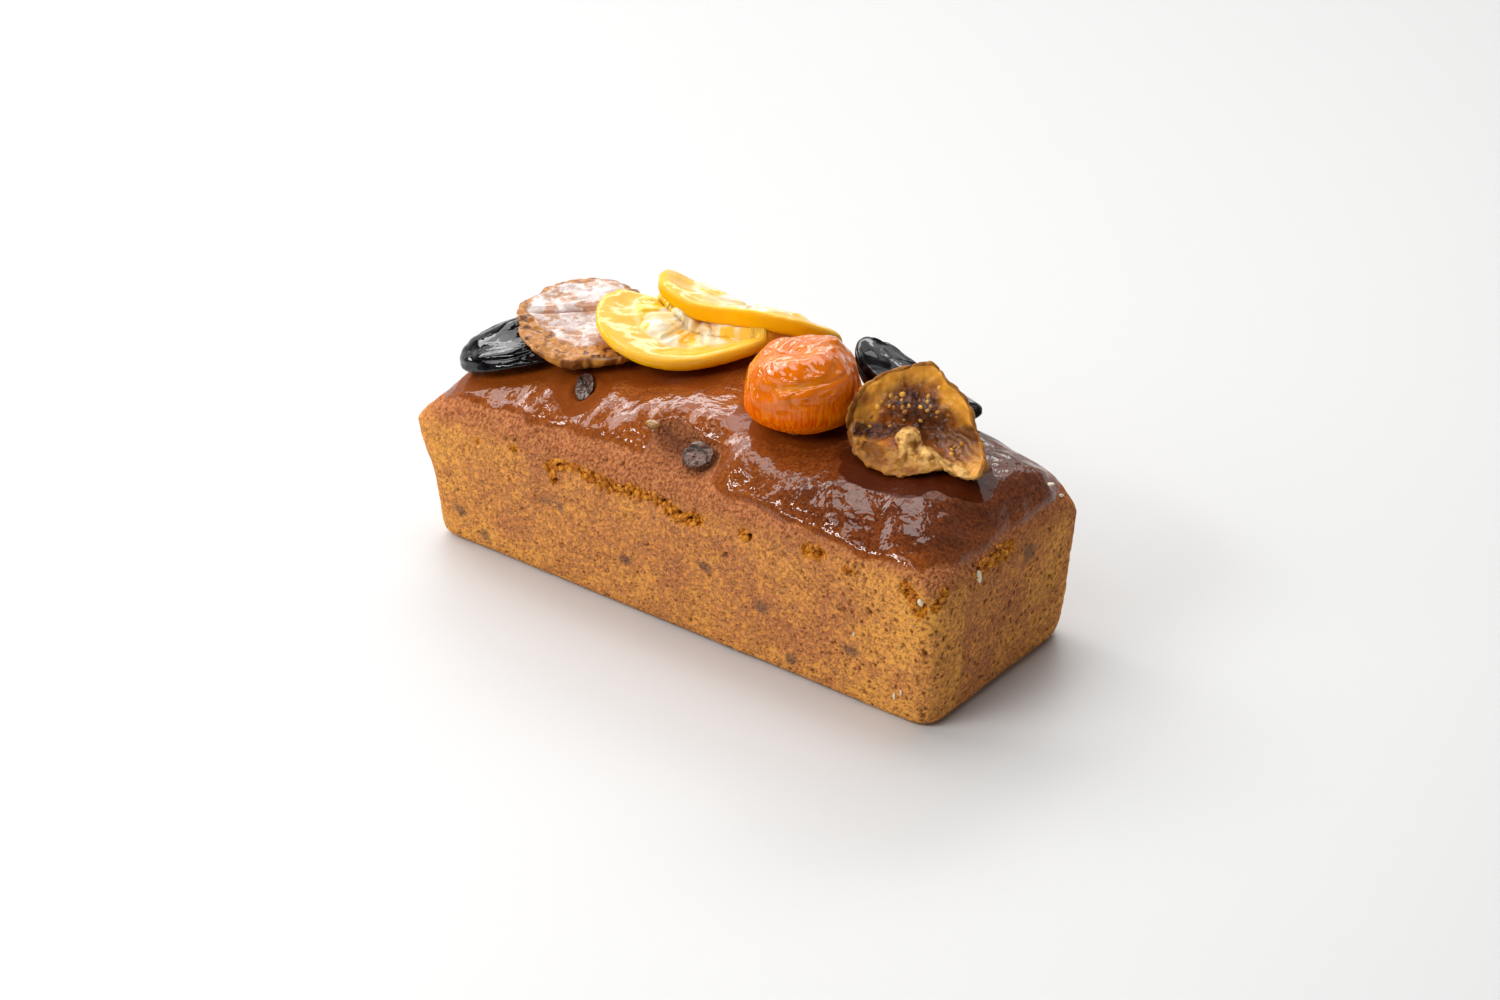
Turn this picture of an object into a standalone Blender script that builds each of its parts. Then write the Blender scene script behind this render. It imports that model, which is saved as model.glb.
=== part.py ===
"""A small fruit pound cake: a domed, cracked loaf with glazed dried fruit laid along its crown.

Frame: metres, +Z up. The origin is the middle of the flat base. +X runs along the loaf and +Y across it.
The loaf is one solid. Each fruit is a solid of its own that rests on what lies under it.
"""

import math

import bmesh
import bpy
from mathutils import Matrix, Vector, noise
from mathutils.bvhtree import BVHTree

# ---------------------------------------------------------------- driving sizes, in metres
MM = 0.001

BASE_LENGTH = 165 * MM
BASE_WIDTH = 63.5 * MM
RIM_LENGTH = 173 * MM  # where the walls end and the crown begins
RIM_WIDTH = 68 * MM
WALL_HEIGHT = 37 * MM
CROWN_RISE = 21.5 * MM  # how far the crown stands above the walls
CORNER_RADIUS = 5.5 * MM
BASE_ROUNDING = 2.6 * MM

COLUMNS = 68  # cells along the loaf
ROWS = 22  # cells across it
WALL_RINGS = 7

FRUIT_GAP = 0.35 * MM  # clear space between a piece and what it rests on
SIDE_GAP = 0.8 * MM  # clear space between pieces that lean on each other
SLOPE_REACH = 1.3 * MM  # how far round a point the bed under it is felt


# ---------------------------------------------------------------- small helpers
def clear_scene():
    for item in list(bpy.data.objects):
        bpy.data.objects.remove(item, do_unlink=True)


def smoothstep(low, high, value):
    t = min(1.0, max(0.0, (value - low) / (high - low)))
    return t * t * (3 - 2 * t)


def bell(distance, width):
    """A smooth hump of height 1 that has faded at about twice its width."""
    return math.exp(-((distance / width) ** 2))


def wave(point, size, shift=0.0):
    """Smooth noise of about -1 to 1 with lumps of the given size."""
    return noise.noise(Vector(point) / size + Vector((shift, -shift, 0.7 * shift)))


def material(name, colour, roughness, coat=0.0):
    made = bpy.data.materials.new(name)
    made.use_nodes = True
    shader = made.node_tree.nodes["Principled BSDF"]
    shader.inputs["Base Color"].default_value = (*colour, 1.0)
    shader.inputs["Roughness"].default_value = roughness
    shader.inputs["Metallic"].default_value = 0.0
    shader.inputs["Coat Weight"].default_value = coat
    made.diffuse_color = (*colour, 1.0)
    return made


def add_object(name, points, faces, finish):
    """Makes a closed mesh object whose faces point outwards."""
    mesh = bpy.data.meshes.new(name)
    shape = bmesh.new()
    corners = [shape.verts.new(point) for point in points]
    for face in faces:
        shape.faces.new([corners[i] for i in face])
    bmesh.ops.recalc_face_normals(shape, faces=shape.faces)
    bmesh.ops.triangulate(shape, faces=shape.faces)
    shape.to_mesh(mesh)
    shape.free()
    mesh.materials.append(finish)
    mesh.shade_smooth()
    made = bpy.data.objects.new(name, mesh)
    bpy.context.scene.collection.objects.link(made)
    return made


def tree_of(made):
    mesh = made.data
    return BVHTree.FromPolygons([v.co for v in mesh.vertices], [p.vertices for p in mesh.polygons])


# ---------------------------------------------------------------- resting one piece on another
def bed_height(beds, x, y):
    """The height of the highest bed under or close round a point, or None."""
    found = None
    for dx, dy in ((0, 0), (1, 0), (-1, 0), (0, 1), (0, -1)):
        start = Vector((x + dx * SLOPE_REACH, y + dy * SLOPE_REACH, 0.2))
        for tree in beds:
            hit = tree.ray_cast(start, Vector((0, 0, -1)))[0]
            if hit is not None and (found is None or hit.z > found):
                found = hit.z
    return found


def neighbours_of(count, faces):
    around = [set() for _ in range(count)]
    for face in faces:
        for k, corner in enumerate(face):
            around[corner].add(face[k - 1])
            around[face[k - 1]].add(corner)
    return around


def spread(moves, around, rounds):
    """Softens a field of moves: each point follows its neighbours where they move further than it does."""
    for _ in range(rounds):
        means = [sum((moves[k] for k in near), Vector()) / len(near) for near in around]
        moves = [mean if mean.length > move.length else move for move, mean in zip(moves, means)]
    return moves


def with_face_middles(points, faces, moves, needed):
    """Gives the corners of each face the move that its middle needs, where that is longer than their own."""
    moves = list(moves)
    for face in faces:
        move = needed(sum((points[k] for k in face), Vector()) / len(face))
        for k in face:
            if move.length > moves[k].length:
                moves[k] = move
    return moves


def lay_on(points, faces, beds, thin=0.0, rounds=6):
    """Lifts what would sink into the beds. Higher points are lifted a little more, so that nothing folds flat."""
    low = min(p.z for p in points)
    high = max(p.z for p in points)

    def lift(p):
        bed = bed_height(beds, p.x, p.y)
        if bed is None:
            return Vector()
        return Vector((0, 0, max(0.0, bed + FRUIT_GAP + thin * (p.z - low) / (high - low) - p.z)))

    moves = with_face_middles(points, faces, [lift(p) for p in points], lift)
    for p, move in zip(points, spread(moves, neighbours_of(len(points), faces), rounds)):
        p += move


def is_inside(tree, p):
    """Whether p lies in a closed mesh: a ray from it then leaves through an odd number of walls."""
    ray = Vector((0.13, 0.21, 0.97)).normalized()
    walls = 0
    hit = tree.ray_cast(p, ray)[0]
    while hit is not None:
        walls += 1
        hit = tree.ray_cast(hit + ray * 0.01 * MM, ray)[0]
    return walls % 2 == 1


def way_out(here, neighbours):
    """The move that brings a point clear of every neighbour, by the shortest way out of each."""
    start = here.copy()
    for tree in neighbours:
        where, _, _, distance = tree.find_nearest(here)
        if is_inside(tree, here):
            here = where + (where - here).normalized() * SIDE_GAP
        elif distance < SIDE_GAP:
            here = where + (here - where).normalized() * SIDE_GAP
    return here - start


def press_beside(points, faces, neighbours):
    """Moves points out of the neighbours, and keeps a small gap to them."""
    around = neighbours_of(len(points), faces)

    def leave(p):
        return way_out(p, neighbours)

    for rounds in (1, 1, 0, 0):
        moves = with_face_middles(points, faces, [leave(p) for p in points], leave)
        for p, move in zip(points, spread(moves, around, rounds)):
            p += move


# ---------------------------------------------------------------- the loaf
EASE_LENGTH = 0.5  # how far the grid crowds towards the ends, and towards the long sides
EASE_WIDTH = 0.8
LIP_CELL = 0.0035  # share of the half width, or length, of the outermost cell: the lip of the split
RING_BELOW_LIP = 1.5 * MM
LEFT_ROUNDNESS = (10.0, 2.2)  # powers of the crown's fall towards each end and side
RIGHT_ROUNDNESS = (8.0, 1.8)
FRONT_ROUNDNESS = (3.0, 1.7)
BACK_ROUNDNESS = (4.2, 1.8)
LEFT_DROOP = 0.38  # share of the crown lost at each end
RIGHT_DROOP = 0.06


def places(cells, ease):
    """Grid lines from -1 to 1, crowded towards both ends, with one thin cell for the lip at each."""
    inner = []
    for k in range(1, cells - 2):
        t = 2 * k / (cells - 2) - 1
        inner.append((1 - ease) * t + ease * math.sin(math.pi / 2 * t))
    return [-1.0, LIP_CELL - 1, *inner, 1 - LIP_CELL, 1.0]


ALONG = places(COLUMNS, EASE_LENGTH)
ACROSS = places(ROWS, EASE_WIDTH)


def rounded_plan(along, across, half_length, half_width):
    """A point of a rectangle with round corners, from shares of -1 to 1."""
    x = half_length * along
    y = half_width * across
    over_x = abs(x) - (half_length - CORNER_RADIUS)
    over_y = abs(y) - (half_width - CORNER_RADIUS)
    if over_x > 0 and over_y > 0:
        scale = max(over_x, over_y) / math.hypot(over_x, over_y)
        x = math.copysign(half_length - CORNER_RADIUS + over_x * scale, x)
        y = math.copysign(half_width - CORNER_RADIUS + over_y * scale, y)
    return x, y


def rim_height(x, y):
    """Height of the split between wall and crown: it climbs to the right along the front, less at the back."""
    climb = 4.0 * MM * smoothstep(-5 * MM, 62 * MM, x) - 3.4 * MM * smoothstep(76 * MM, 84 * MM, x)
    dip = 2.2 * MM * smoothstep(-52 * MM, -70 * MM, x)
    side = smoothstep(-12 * MM, -30 * MM, y) + 0.4 * smoothstep(12 * MM, 30 * MM, y)
    return WALL_HEIGHT + (climb - dip) * side


def wall_point(along, across, level):
    """A point of the tapered wall, from a level of 0 at the base to 1 at the split."""
    top = rim_height(*rounded_plan(along, across, RIM_LENGTH / 2, RIM_WIDTH / 2))
    z = level * top
    share = min(1.0, z / WALL_HEIGHT)
    below = max(0.0, 1 - z / BASE_ROUNDING)
    inset = BASE_ROUNDING * (1 - math.sqrt(1 - below * below))
    half_length = (BASE_LENGTH + (RIM_LENGTH - BASE_LENGTH) * share) / 2 - inset
    half_width = (BASE_WIDTH + (RIM_WIDTH - BASE_WIDTH) * share) / 2 - inset
    return Vector((*rounded_plan(along, across, half_length, half_width), z))


def fall(t, powers):
    return max(0.0, 1 - abs(t) ** powers[0]) ** (1 / powers[1])


def crown_point(along, across):
    """A point of the domed top. It leaves the walls upright and is fuller at the back and the right end."""
    x, y = rounded_plan(along, across, RIM_LENGTH / 2, RIM_WIDTH / 2)
    droop = LEFT_DROOP if along < 0 else RIGHT_DROOP
    end = LEFT_ROUNDNESS if along < 0 else RIGHT_ROUNDNESS
    side = FRONT_ROUNDNESS if across < 0 else BACK_ROUNDNESS
    share = fall(along, end) * fall(across, side)
    top = WALL_HEIGHT + CROWN_RISE * (1 - droop * along**2)
    return Vector((x, y, rim_height(x, y) * (1 - share) + top * share))


def split_strength(x, y):
    """How far the crown has torn away from the wall: most at the front left of the middle, none at the left."""
    if y < 0:
        middle = smoothstep(-51 * MM, -41 * MM, x) * (1 - 0.7 * smoothstep(22 * MM, 32 * MM, x))
        return max(middle * smoothstep(-26 * MM, -31 * MM, y), bell(x - 83 * MM, 5 * MM))
    return 0.6 * smoothstep(26 * MM, 31 * MM, y) * bell(x + 8 * MM, 40 * MM)


def split_relief(p):
    """A ragged groove along the split, under a lip that stands out a little."""
    strength = split_strength(p.x, p.y) * (0.8 + 0.5 * wave(p, 6 * MM, 3.0))
    above = p.z - rim_height(p.x, p.y)
    lip = 0.8 * MM * bell(above - 4.5 * MM, 3.2 * MM)
    return strength * (lip - 1.9 * MM * bell(above, 1.2 * MM))


def end_spread(p):
    """How far the ends bulge along X: both a little at the foot, and the left one over the tin's edge."""
    foot = smoothstep(24 * MM, 14 * MM, p.z)
    rim = smoothstep(13 * MM, 31 * MM, p.z) * (1 - 0.8 * smoothstep(34 * MM, 42 * MM, p.z))
    left = smoothstep(-60 * MM, -83 * MM, p.x) * (4.2 * MM * rim + 1.6 * MM * foot)
    right = smoothstep(60 * MM, 82 * MM, p.x) * 1.4 * MM * smoothstep(33 * MM, 8 * MM, p.z)
    return right - left


# Dents (negative) and swellings of the crown: place along and across the loaf, radius, height.
CROWN_FORMS = (
    (5.5 * MM, -25.5 * MM, 5.2 * MM, -4.6 * MM),  # crater that holds a raisin
    (11.5 * MM, -24.5 * MM, 3.2 * MM, -1.6 * MM),
    (-3.5 * MM, -24.0 * MM, 3.5 * MM, -2.2 * MM),  # trench that runs into it
    (-9.5 * MM, -22.5 * MM, 3.0 * MM, -1.4 * MM),
    (4.0 * MM, -17.0 * MM, 5.0 * MM, 1.6 * MM),  # swellings round the crater
    (-9 * MM, -15 * MM, 8.0 * MM, 1.6 * MM),
    (19 * MM, -23.5 * MM, 5.5 * MM, 1.9 * MM),
    (4 * MM, -31.0 * MM, 5.0 * MM, 1.2 * MM),
    (-10.5 * MM, -28.0 * MM, 4.0 * MM, 1.8 * MM),  # raisins baked in under the crust
    (-30 * MM, -26 * MM, 3.6 * MM, 1.7 * MM),
    (-49.5 * MM, -28 * MM, 3.0 * MM, 1.2 * MM),
    (-18.5 * MM, -22 * MM, 3.6 * MM, 1.0 * MM),
    (-47 * MM, -21 * MM, 5.0 * MM, 1.0 * MM),
    (-39 * MM, -19.4 * MM, 4.6 * MM, -3.2 * MM),  # dent that holds the dark raisin under the fig
    (36 * MM, -19 * MM, 6.0 * MM, -1.2 * MM),
    (47 * MM, -24 * MM, 6.0 * MM, 1.0 * MM),
    (62 * MM, -17 * MM, 6.0 * MM, 0.9 * MM),
    (74 * MM, -14 * MM, 6.0 * MM, -1.1 * MM),
    (72 * MM, 15 * MM, 8.0 * MM, 0.8 * MM),
    (-20 * MM, 22 * MM, 7.0 * MM, 1.0 * MM),
    (28 * MM, 24 * MM, 6.0 * MM, 0.9 * MM),
    (-62 * MM, 18 * MM, 7.0 * MM, -1.0 * MM),
)


def crown_relief(p):
    share = smoothstep(WALL_HEIGHT + 3 * MM, WALL_HEIGHT + 9 * MM, p.z)
    if share == 0.0:
        return 0.0
    forms = sum(h * bell(math.hypot(p.x - x, p.y - y), r) for x, y, r, h in CROWN_FORMS)
    return share * (forms + 1.0 * MM * wave(p, 15 * MM, 1.0) + 0.5 * MM * wave(p, 6 * MM, 2.0))


def wall_relief(p):
    return 0.35 * MM * wave(p, 13 * MM, 5.0) + 0.3 * MM * wave(p, 5 * MM, 6.0)


def loaf_skin(p):
    """How far the real skin stands out from the plain form at p."""
    if p.z < 1.5 * MM:
        return 0.0
    return split_relief(p) + crown_relief(p) + wall_relief(p)


def loaf_grid():
    """Points and faces of the plain loaf: a gridded crown, ringed walls and one flat base."""
    points = []
    crown = {}
    for i, along in enumerate(ALONG):
        for j, across in enumerate(ACROSS):
            crown[i, j] = len(points)
            points.append(crown_point(along, across))
    wide = len(ALONG) - 1
    deep = len(ACROSS) - 1
    faces = [
        (crown[i, j], crown[i + 1, j], crown[i + 1, j + 1], crown[i, j + 1])
        for i in range(wide)
        for j in range(deep)
    ]
    around = [(i, 0) for i in range(wide)]
    around += [(wide, j) for j in range(deep)]
    around += [(i, deep) for i in range(wide, 0, -1)]
    around += [(0, j) for j in range(deep, 0, -1)]
    first = 1 - RING_BELOW_LIP / WALL_HEIGHT
    last = BASE_ROUNDING / WALL_HEIGHT
    levels = [first - (first - last) * k / (WALL_RINGS - 1) for k in range(WALL_RINGS)] + [last / 3, 0.0]
    ring = [crown[place] for place in around]
    for level in levels:
        lower = []
        for i, j in around:
            lower.append(len(points))
            points.append(wall_point(ALONG[i], ACROSS[j], level))
        for k in range(len(ring)):
            after = (k + 1) % len(ring)
            faces.append((ring[k], lower[k], lower[after], ring[after]))
        ring = lower
    faces.append(tuple(ring))
    return points, faces


def make_loaf(finish):
    points, faces = loaf_grid()
    made = add_object("loaf", points, faces, finish)
    mesh = made.data
    moves = [v.normal * loaf_skin(v.co) + Vector((end_spread(v.co), 0, 0)) for v in mesh.vertices]
    for vertex, move in zip(mesh.vertices, moves):
        vertex.co += move
    mesh.update()
    return made


# ---------------------------------------------------------------- closed round forms
def ring_faces(rings, segments):
    """Faces for a pole, then rings of points, then a second pole, all in one list."""
    top = 1 + rings * segments
    last = top - segments
    faces = []
    for j in range(segments):
        after = (j + 1) % segments
        faces.append((0, 1 + after, 1 + j))
        faces.append((top, last + j, last + after))
        for i in range(rings - 1):
            low = 1 + i * segments
            high = low + segments
            faces.append((low + j, low + after, high + after, high + j))
    return faces


def ball(rings, segments):
    """Directions on a unit sphere with its poles on Z, and the faces that join them."""
    points = [Vector((0, 0, -1))]
    for i in range(1, rings + 1):
        polar = math.pi * i / (rings + 1)
        for j in range(segments):
            turn = 2 * math.pi * j / segments
            side = math.sin(polar)
            points.append(Vector((side * math.cos(turn), side * math.sin(turn), -math.cos(polar))))
    points.append(Vector((0, 0, 1)))
    return points, ring_faces(rings, segments)


def placement(centre, heading, pitch=0.0, roll=0.0):
    """A frame at centre, turned about X by roll, about Y by pitch, then about Z by heading, in degrees."""
    turn = Matrix.Rotation(math.radians(heading), 4, "Z")
    turn @= Matrix.Rotation(math.radians(pitch), 4, "Y")
    turn @= Matrix.Rotation(math.radians(roll), 4, "X")
    return Matrix.Translation(centre) @ turn


# ---------------------------------------------------------------- prunes and raisins
def wrinkled(direction, folds, depth, shift):
    """Scale of a dried fruit's skin: long folds from end to end, with smaller wrinkles between them."""
    turn = math.atan2(direction.y, direction.x)
    side = math.hypot(direction.x, direction.y)
    sway = 1.3 * wave(direction, 0.9, shift)
    fold = abs(math.sin(folds / 2 * turn + sway + 0.8 * direction.z + shift))
    return 1 - depth * side * (1 - fold) ** 1.5 + 0.4 * depth * wave(direction, 0.45, shift + 4)


def dried_fruit(size, place, folds, depth, shift, bow, crest, rings, segments):
    """A prune or raisin: a long ball with its poles at its ends, folded lengthways and bowed upwards.

    Its top is pressed flat above 0.4 of its half height, and a fold of the given crest stands along its back.
    """
    directions, faces = ball(rings, segments)
    length, width, height = size
    points = []
    for d in directions:
        scale = wrinkled(d, folds, depth, shift) * (1 - 0.12 * d.z)
        z = d.y * height / 2 * scale
        flat = 0.4 * height / 2
        if z > flat:
            z = flat + 0.45 * (z - flat)
        arch = bow * (1 - 2 * d.z * d.z)
        fold = crest * bell(d.z - 0.1, 0.4) * bell(d.x - 0.5, 0.32) * smoothstep(0.0, 0.6, d.y)
        points.append(place @ Vector((d.z * length / 2, d.x * width / 2 * scale, z + arch + fold)))
    return points, faces


def make_raisin(name, place, size, shift, beds, finish):
    points, faces = dried_fruit(size, place, 5, 0.22, shift, 0.0, 0.0, 6, 12)
    lay_on(points, faces, beds, thin=0.8 * MM, rounds=2)
    return add_object(name, points, faces, finish)


def make_prune(name, place, size, shift, bow, crest, beds, finish):
    points, faces = dried_fruit(size, place, 7, 0.3, shift, bow, crest, 13, 22)
    lay_on(points, faces, beds, thin=1.5 * MM)
    return add_object(name, points, faces, finish)


# ---------------------------------------------------------------- apricot
APRICOT_SIZE = (32 * MM, 30 * MM, 25.5 * MM)


def apricot_scale(d):
    """The pucker on top, the seam that runs into it, and the soft lumps of a dried whole fruit."""
    turn = math.atan2(d.y, d.x)
    side = math.hypot(d.x, d.y)
    top = smoothstep(0.2, 1.0, d.z)
    pucker = 0.16 * bell(side, 0.3) * top
    seam = 0.10 * bell(math.sin((turn - 0.5) / 2), 0.14) * smoothstep(-0.6, 0.5, d.z) * side
    folds = 0.03 * top * side * math.sin(5 * turn + 2 * wave(d, 0.8, 2.0))
    shoulder = 0.2 * abs(d.z) * side
    sunken = 0.10 * smoothstep(0.2, 0.9, 0.65 * d.z - 0.76 * d.x)
    return 1.0 - pucker - seam + folds + shoulder - sunken + 0.05 * wave(d, 0.6, 8.0)


def make_apricot(place, beds, neighbours, finish):
    directions, faces = ball(13, 26)
    points = []
    for d in directions:
        scale = apricot_scale(d) / 2
        points.append(place @ Vector([share * size * scale for share, size in zip(d, APRICOT_SIZE)]))
    lay_on(points, faces, beds, thin=1.5 * MM)
    press_beside(points, faces, neighbours)
    return add_object("apricot", points, faces, finish)


# ---------------------------------------------------------------- figs
FIG_PLEATS = 13
FLAT_FIG_RADIUS = 20 * MM
# The flat fig's half section from its underside round the rim to the cut face: share of radius, height.
FLAT_FIG_SECTION = (
    (0.45, 0.0 * MM),
    (0.76, 0.5 * MM),
    (0.93, 2.4 * MM),
    (1.0, 5.4 * MM),
    (0.99, 7.8 * MM),
    (0.92, 9.2 * MM),
    (0.80, 8.9 * MM),
    (0.58, 8.4 * MM),
    (0.30, 8.6 * MM),
)
FLAT_FIG_FACE_HEIGHT = 8.2 * MM


def flat_fig_point(share, height, turn):
    """Pleated skin round a slightly sunken cut face with one soft fold across it."""
    front = max(0.0, -math.sin(turn)) ** 2
    outline = 1 + 0.035 * math.cos(2 * turn + 0.6) + 0.02 * math.cos(3 * turn) + 0.06 * front
    skin = smoothstep(0.6, 0.95, share) * smoothstep(9.4 * MM, 6 * MM, height)
    pleat = 0.022 * skin * math.cos(FIG_PLEATS * turn + 0.8 * math.sin(3 * turn))
    radius = FLAT_FIG_RADIUS * share * (outline + pleat)
    height *= 1 + 0.24 * share * max(0.0, math.sin(turn)) ** 2
    if height >= FLAT_FIG_FACE_HEIGHT:
        ripple = 0.5 * MM * math.sin(5 * turn + 1.0) * share
        fold = 1.4 * MM * smoothstep(-0.05, 0.15, share * math.sin(turn - 0.5)) * (1 - share**2)
        height += ripple + fold
    return Vector((radius * math.cos(turn), radius * math.sin(turn), height))


def make_flat_fig(place, beds, finish):
    """A fig cut across and laid skin side down."""
    segments = 3 * FIG_PLEATS
    local = [Vector((0, 0, 0))]
    for share, height in FLAT_FIG_SECTION:
        local += [flat_fig_point(share, height, 2 * math.pi * j / segments) for j in range(segments)]
    local.append(flat_fig_point(0.0, FLAT_FIG_SECTION[-1][1], 0.0))
    points = [place @ p for p in local]
    faces = ring_faces(len(FLAT_FIG_SECTION), segments)
    lay_on(points, faces, beds, thin=1.5 * MM, rounds=3)
    return add_object("fig_flat", points, faces, finish)


# The opened fig's outline: compass angle in degrees on its face, and radius.
OPEN_FIG_OUTLINE = (
    (-168, 19.8 * MM),
    (-141, 18.5 * MM),
    (-123, 18.7 * MM),
    (-99, 19.8 * MM),
    (-75, 20.9 * MM),
    (-56, 18.2 * MM),
    (-40, 15.6 * MM),
    (-24, 22.4 * MM),
    (-13, 23.8 * MM),
    (0, 19.7 * MM),
    (24, 14.8 * MM),
    (58, 14.6 * MM),
    (80, 13.8 * MM),
    (108, 17.2 * MM),
    (131, 16.0 * MM),
    (160, 17.4 * MM),
)
OPEN_FIG_SEGMENTS = 44
OPEN_FIG_SKIN_RINGS = 4
OPEN_FIG_FACE_RINGS = 9
OPEN_FIG_DEPTH = 8.5 * MM
OPEN_FIG_LEAST_THICKNESS = 1.6 * MM


def outline_radius(turn):
    """The opened fig's radius at an angle, eased from one outline point to the next."""
    degrees = math.degrees(turn)
    first = OPEN_FIG_OUTLINE[0][0]
    degrees = first + (degrees - first) % 360
    loop = [*OPEN_FIG_OUTLINE, (first + 360, OPEN_FIG_OUTLINE[0][1])]
    for (angle, radius), (next_angle, next_radius) in zip(loop, loop[1:]):
        if degrees <= next_angle:
            return radius + (next_radius - radius) * smoothstep(angle, next_angle, degrees)
    return loop[-1][1]


def keep_thick(points, faces, tops, outward, least):
    """Moves points of a piece's top side outward where less than the least thickness is left under them."""
    tree = BVHTree.FromPolygons(points, faces)
    for k in tops:
        under = tree.ray_cast(points[k] - outward * 0.01 * MM, -outward)[0]
        left = (points[k] - under).length if under is not None else 0.0
        points[k] += outward * max(0.0, least - left)


def open_fig_face(x, y, share):
    """Height of the opened fig's inside. Above its crease is the pulp, below it a fold of skin with a knob."""
    below = 0.6 * MM + 0.42 * x - y
    rim = 1.8 * MM * smoothstep(0.72, 0.95, share)
    bowl = -2.4 * MM * (1 - share**2)
    crease = -2.8 * MM * bell(below, 1.8 * MM) * smoothstep(0.98, 0.75, share)
    floor = -2.0 * MM * bell(math.hypot(x + 11 * MM, y + 7.5 * MM), 4.5 * MM)
    hollow = -2.2 * MM * bell(math.hypot((x - 13 * MM) / 1.3, y - 0.5 * MM), 4.0 * MM)
    knob = 6.0 * MM * bell(math.hypot(x, y + 4.8 * MM), 3.6 * MM)
    crumb = 3.4 * MM * bell(math.hypot(x - 6.6 * MM, y + 7.6 * MM), 2.8 * MM)
    ridge = 3.0 * MM * bell(math.hypot((x - 12 * MM) / 2.2, y + 7.3 * MM), 2.6 * MM)
    apron = 3.4 * MM * bell(math.hypot((x - 0.5 * MM) / 1.9, y + 11 * MM), 4.2 * MM)
    return rim + bowl + crease + floor + hollow + knob + crumb + ridge + apron


def make_open_fig(place, beds, neighbours, finish):
    """A fig torn open towards the front, its skin side on the crown and against its neighbours."""
    rings = []
    for k in range(1, OPEN_FIG_SKIN_RINGS + 1):
        polar = math.pi / 2 * k / (OPEN_FIG_SKIN_RINGS + 1)
        rings.append((math.sin(polar), -OPEN_FIG_DEPTH * math.cos(polar)))
    rings.append((1.0, -0.8 * MM))
    rings += [(k / OPEN_FIG_FACE_RINGS, None) for k in range(OPEN_FIG_FACE_RINGS, 0, -1)]
    local = [Vector((0, 0, -OPEN_FIG_DEPTH))]
    for share, skin_height in rings:
        for j in range(OPEN_FIG_SEGMENTS):
            turn = 2 * math.pi * j / OPEN_FIG_SEGMENTS
            radius = outline_radius(turn) * share
            if share == 1.0 and skin_height is None:
                radius *= 0.97
            x = radius * math.cos(turn)
            y = radius * math.sin(turn)
            if skin_height is None:
                height = open_fig_face(x, y, share)
            else:
                thin = 1 - 0.85 * share * max(0.0, -math.sin(turn))
                height = thin * skin_height + 0.5 * MM * math.sin(11 * turn) * share
            local.append(Vector((x, y, height)))
    local.append(Vector((0, 0, open_fig_face(0.0, 0.0, 0.0))))
    points = [place @ p for p in local]
    faces = ring_faces(len(rings), OPEN_FIG_SEGMENTS)
    lay_on(points, faces, beds, thin=0.8 * MM, rounds=2)
    press_beside(points, faces, neighbours)
    skin_points = 1 + (OPEN_FIG_SKIN_RINGS + 2) * OPEN_FIG_SEGMENTS
    tops = range(skin_points, len(points))
    keep_thick(points, faces, tops, place.to_3x3() @ Vector((0, 0, 1)), OPEN_FIG_LEAST_THICKNESS)
    return add_object("fig_open", points, faces, finish)


# ---------------------------------------------------------------- orange slices
SLICE_TURNS = 28
SEGMENTS_IN_HALF = 5
SLICE_RINGS = (0.025, 0.20, 0.42, 0.60, 0.75, 0.84, 0.94, 1.0)  # from core to peel: share of the radius
PEEL_ROUNDING = 0.8 * MM


def slice_relief(share, turn):
    """The pulp between the membranes lies a little below them."""
    in_pulp = smoothstep(0.10, 0.22, share) * smoothstep(0.80, 0.75, share)
    between = smoothstep(0.15, 0.6, abs(math.sin(SEGMENTS_IN_HALF * turn)))
    return -0.9 * MM * in_pulp * between


def make_half_slice(name, place, radius_at, thickness_at, bend, beds, finish):
    """Half a slice of candied orange. Its cut edge is its X axis; bend gives the height of its underside."""
    lows = []
    rises = []
    middle = thickness_at(math.pi / 2)
    for share in SLICE_RINGS:
        for j in range(SLICE_TURNS + 1):
            turn = math.pi * j / SLICE_TURNS
            x = radius_at(turn) * share * math.cos(turn)
            y = radius_at(turn) * share * math.sin(turn)
            edge = PEEL_ROUNDING * smoothstep(0.94, 1.0, share)
            thickness = middle + (thickness_at(turn) - middle) * share
            lows.append(place @ Vector((x, y, bend(x, y) + edge)))
            rises.append(Vector((0, 0, thickness + slice_relief(share, turn) - 2 * edge)))
    wide = SLICE_TURNS + 1
    quads = [
        (i * wide + j, i * wide + j + 1, (i + 1) * wide + j + 1, (i + 1) * wide + j)
        for i in range(len(SLICE_RINGS) - 1)
        for j in range(SLICE_TURNS)
    ]
    core = tuple(range(wide))
    lay_on(lows, [*quads, core], beds, rounds=16)
    count = len(lows)
    points = lows + [low + rise for low, rise in zip(lows, rises)]
    faces = quads + [tuple(corner + count for corner in quad) for quad in quads]
    outer = range(count - wide, count)
    for side in (range(0, count, wide), range(wide - 1, count, wide), core, outer):
        for a, b in zip(side, side[1:]):
            faces.append((a, b, b + count, a + count))
    return add_object(name, points, faces, finish)


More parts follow.
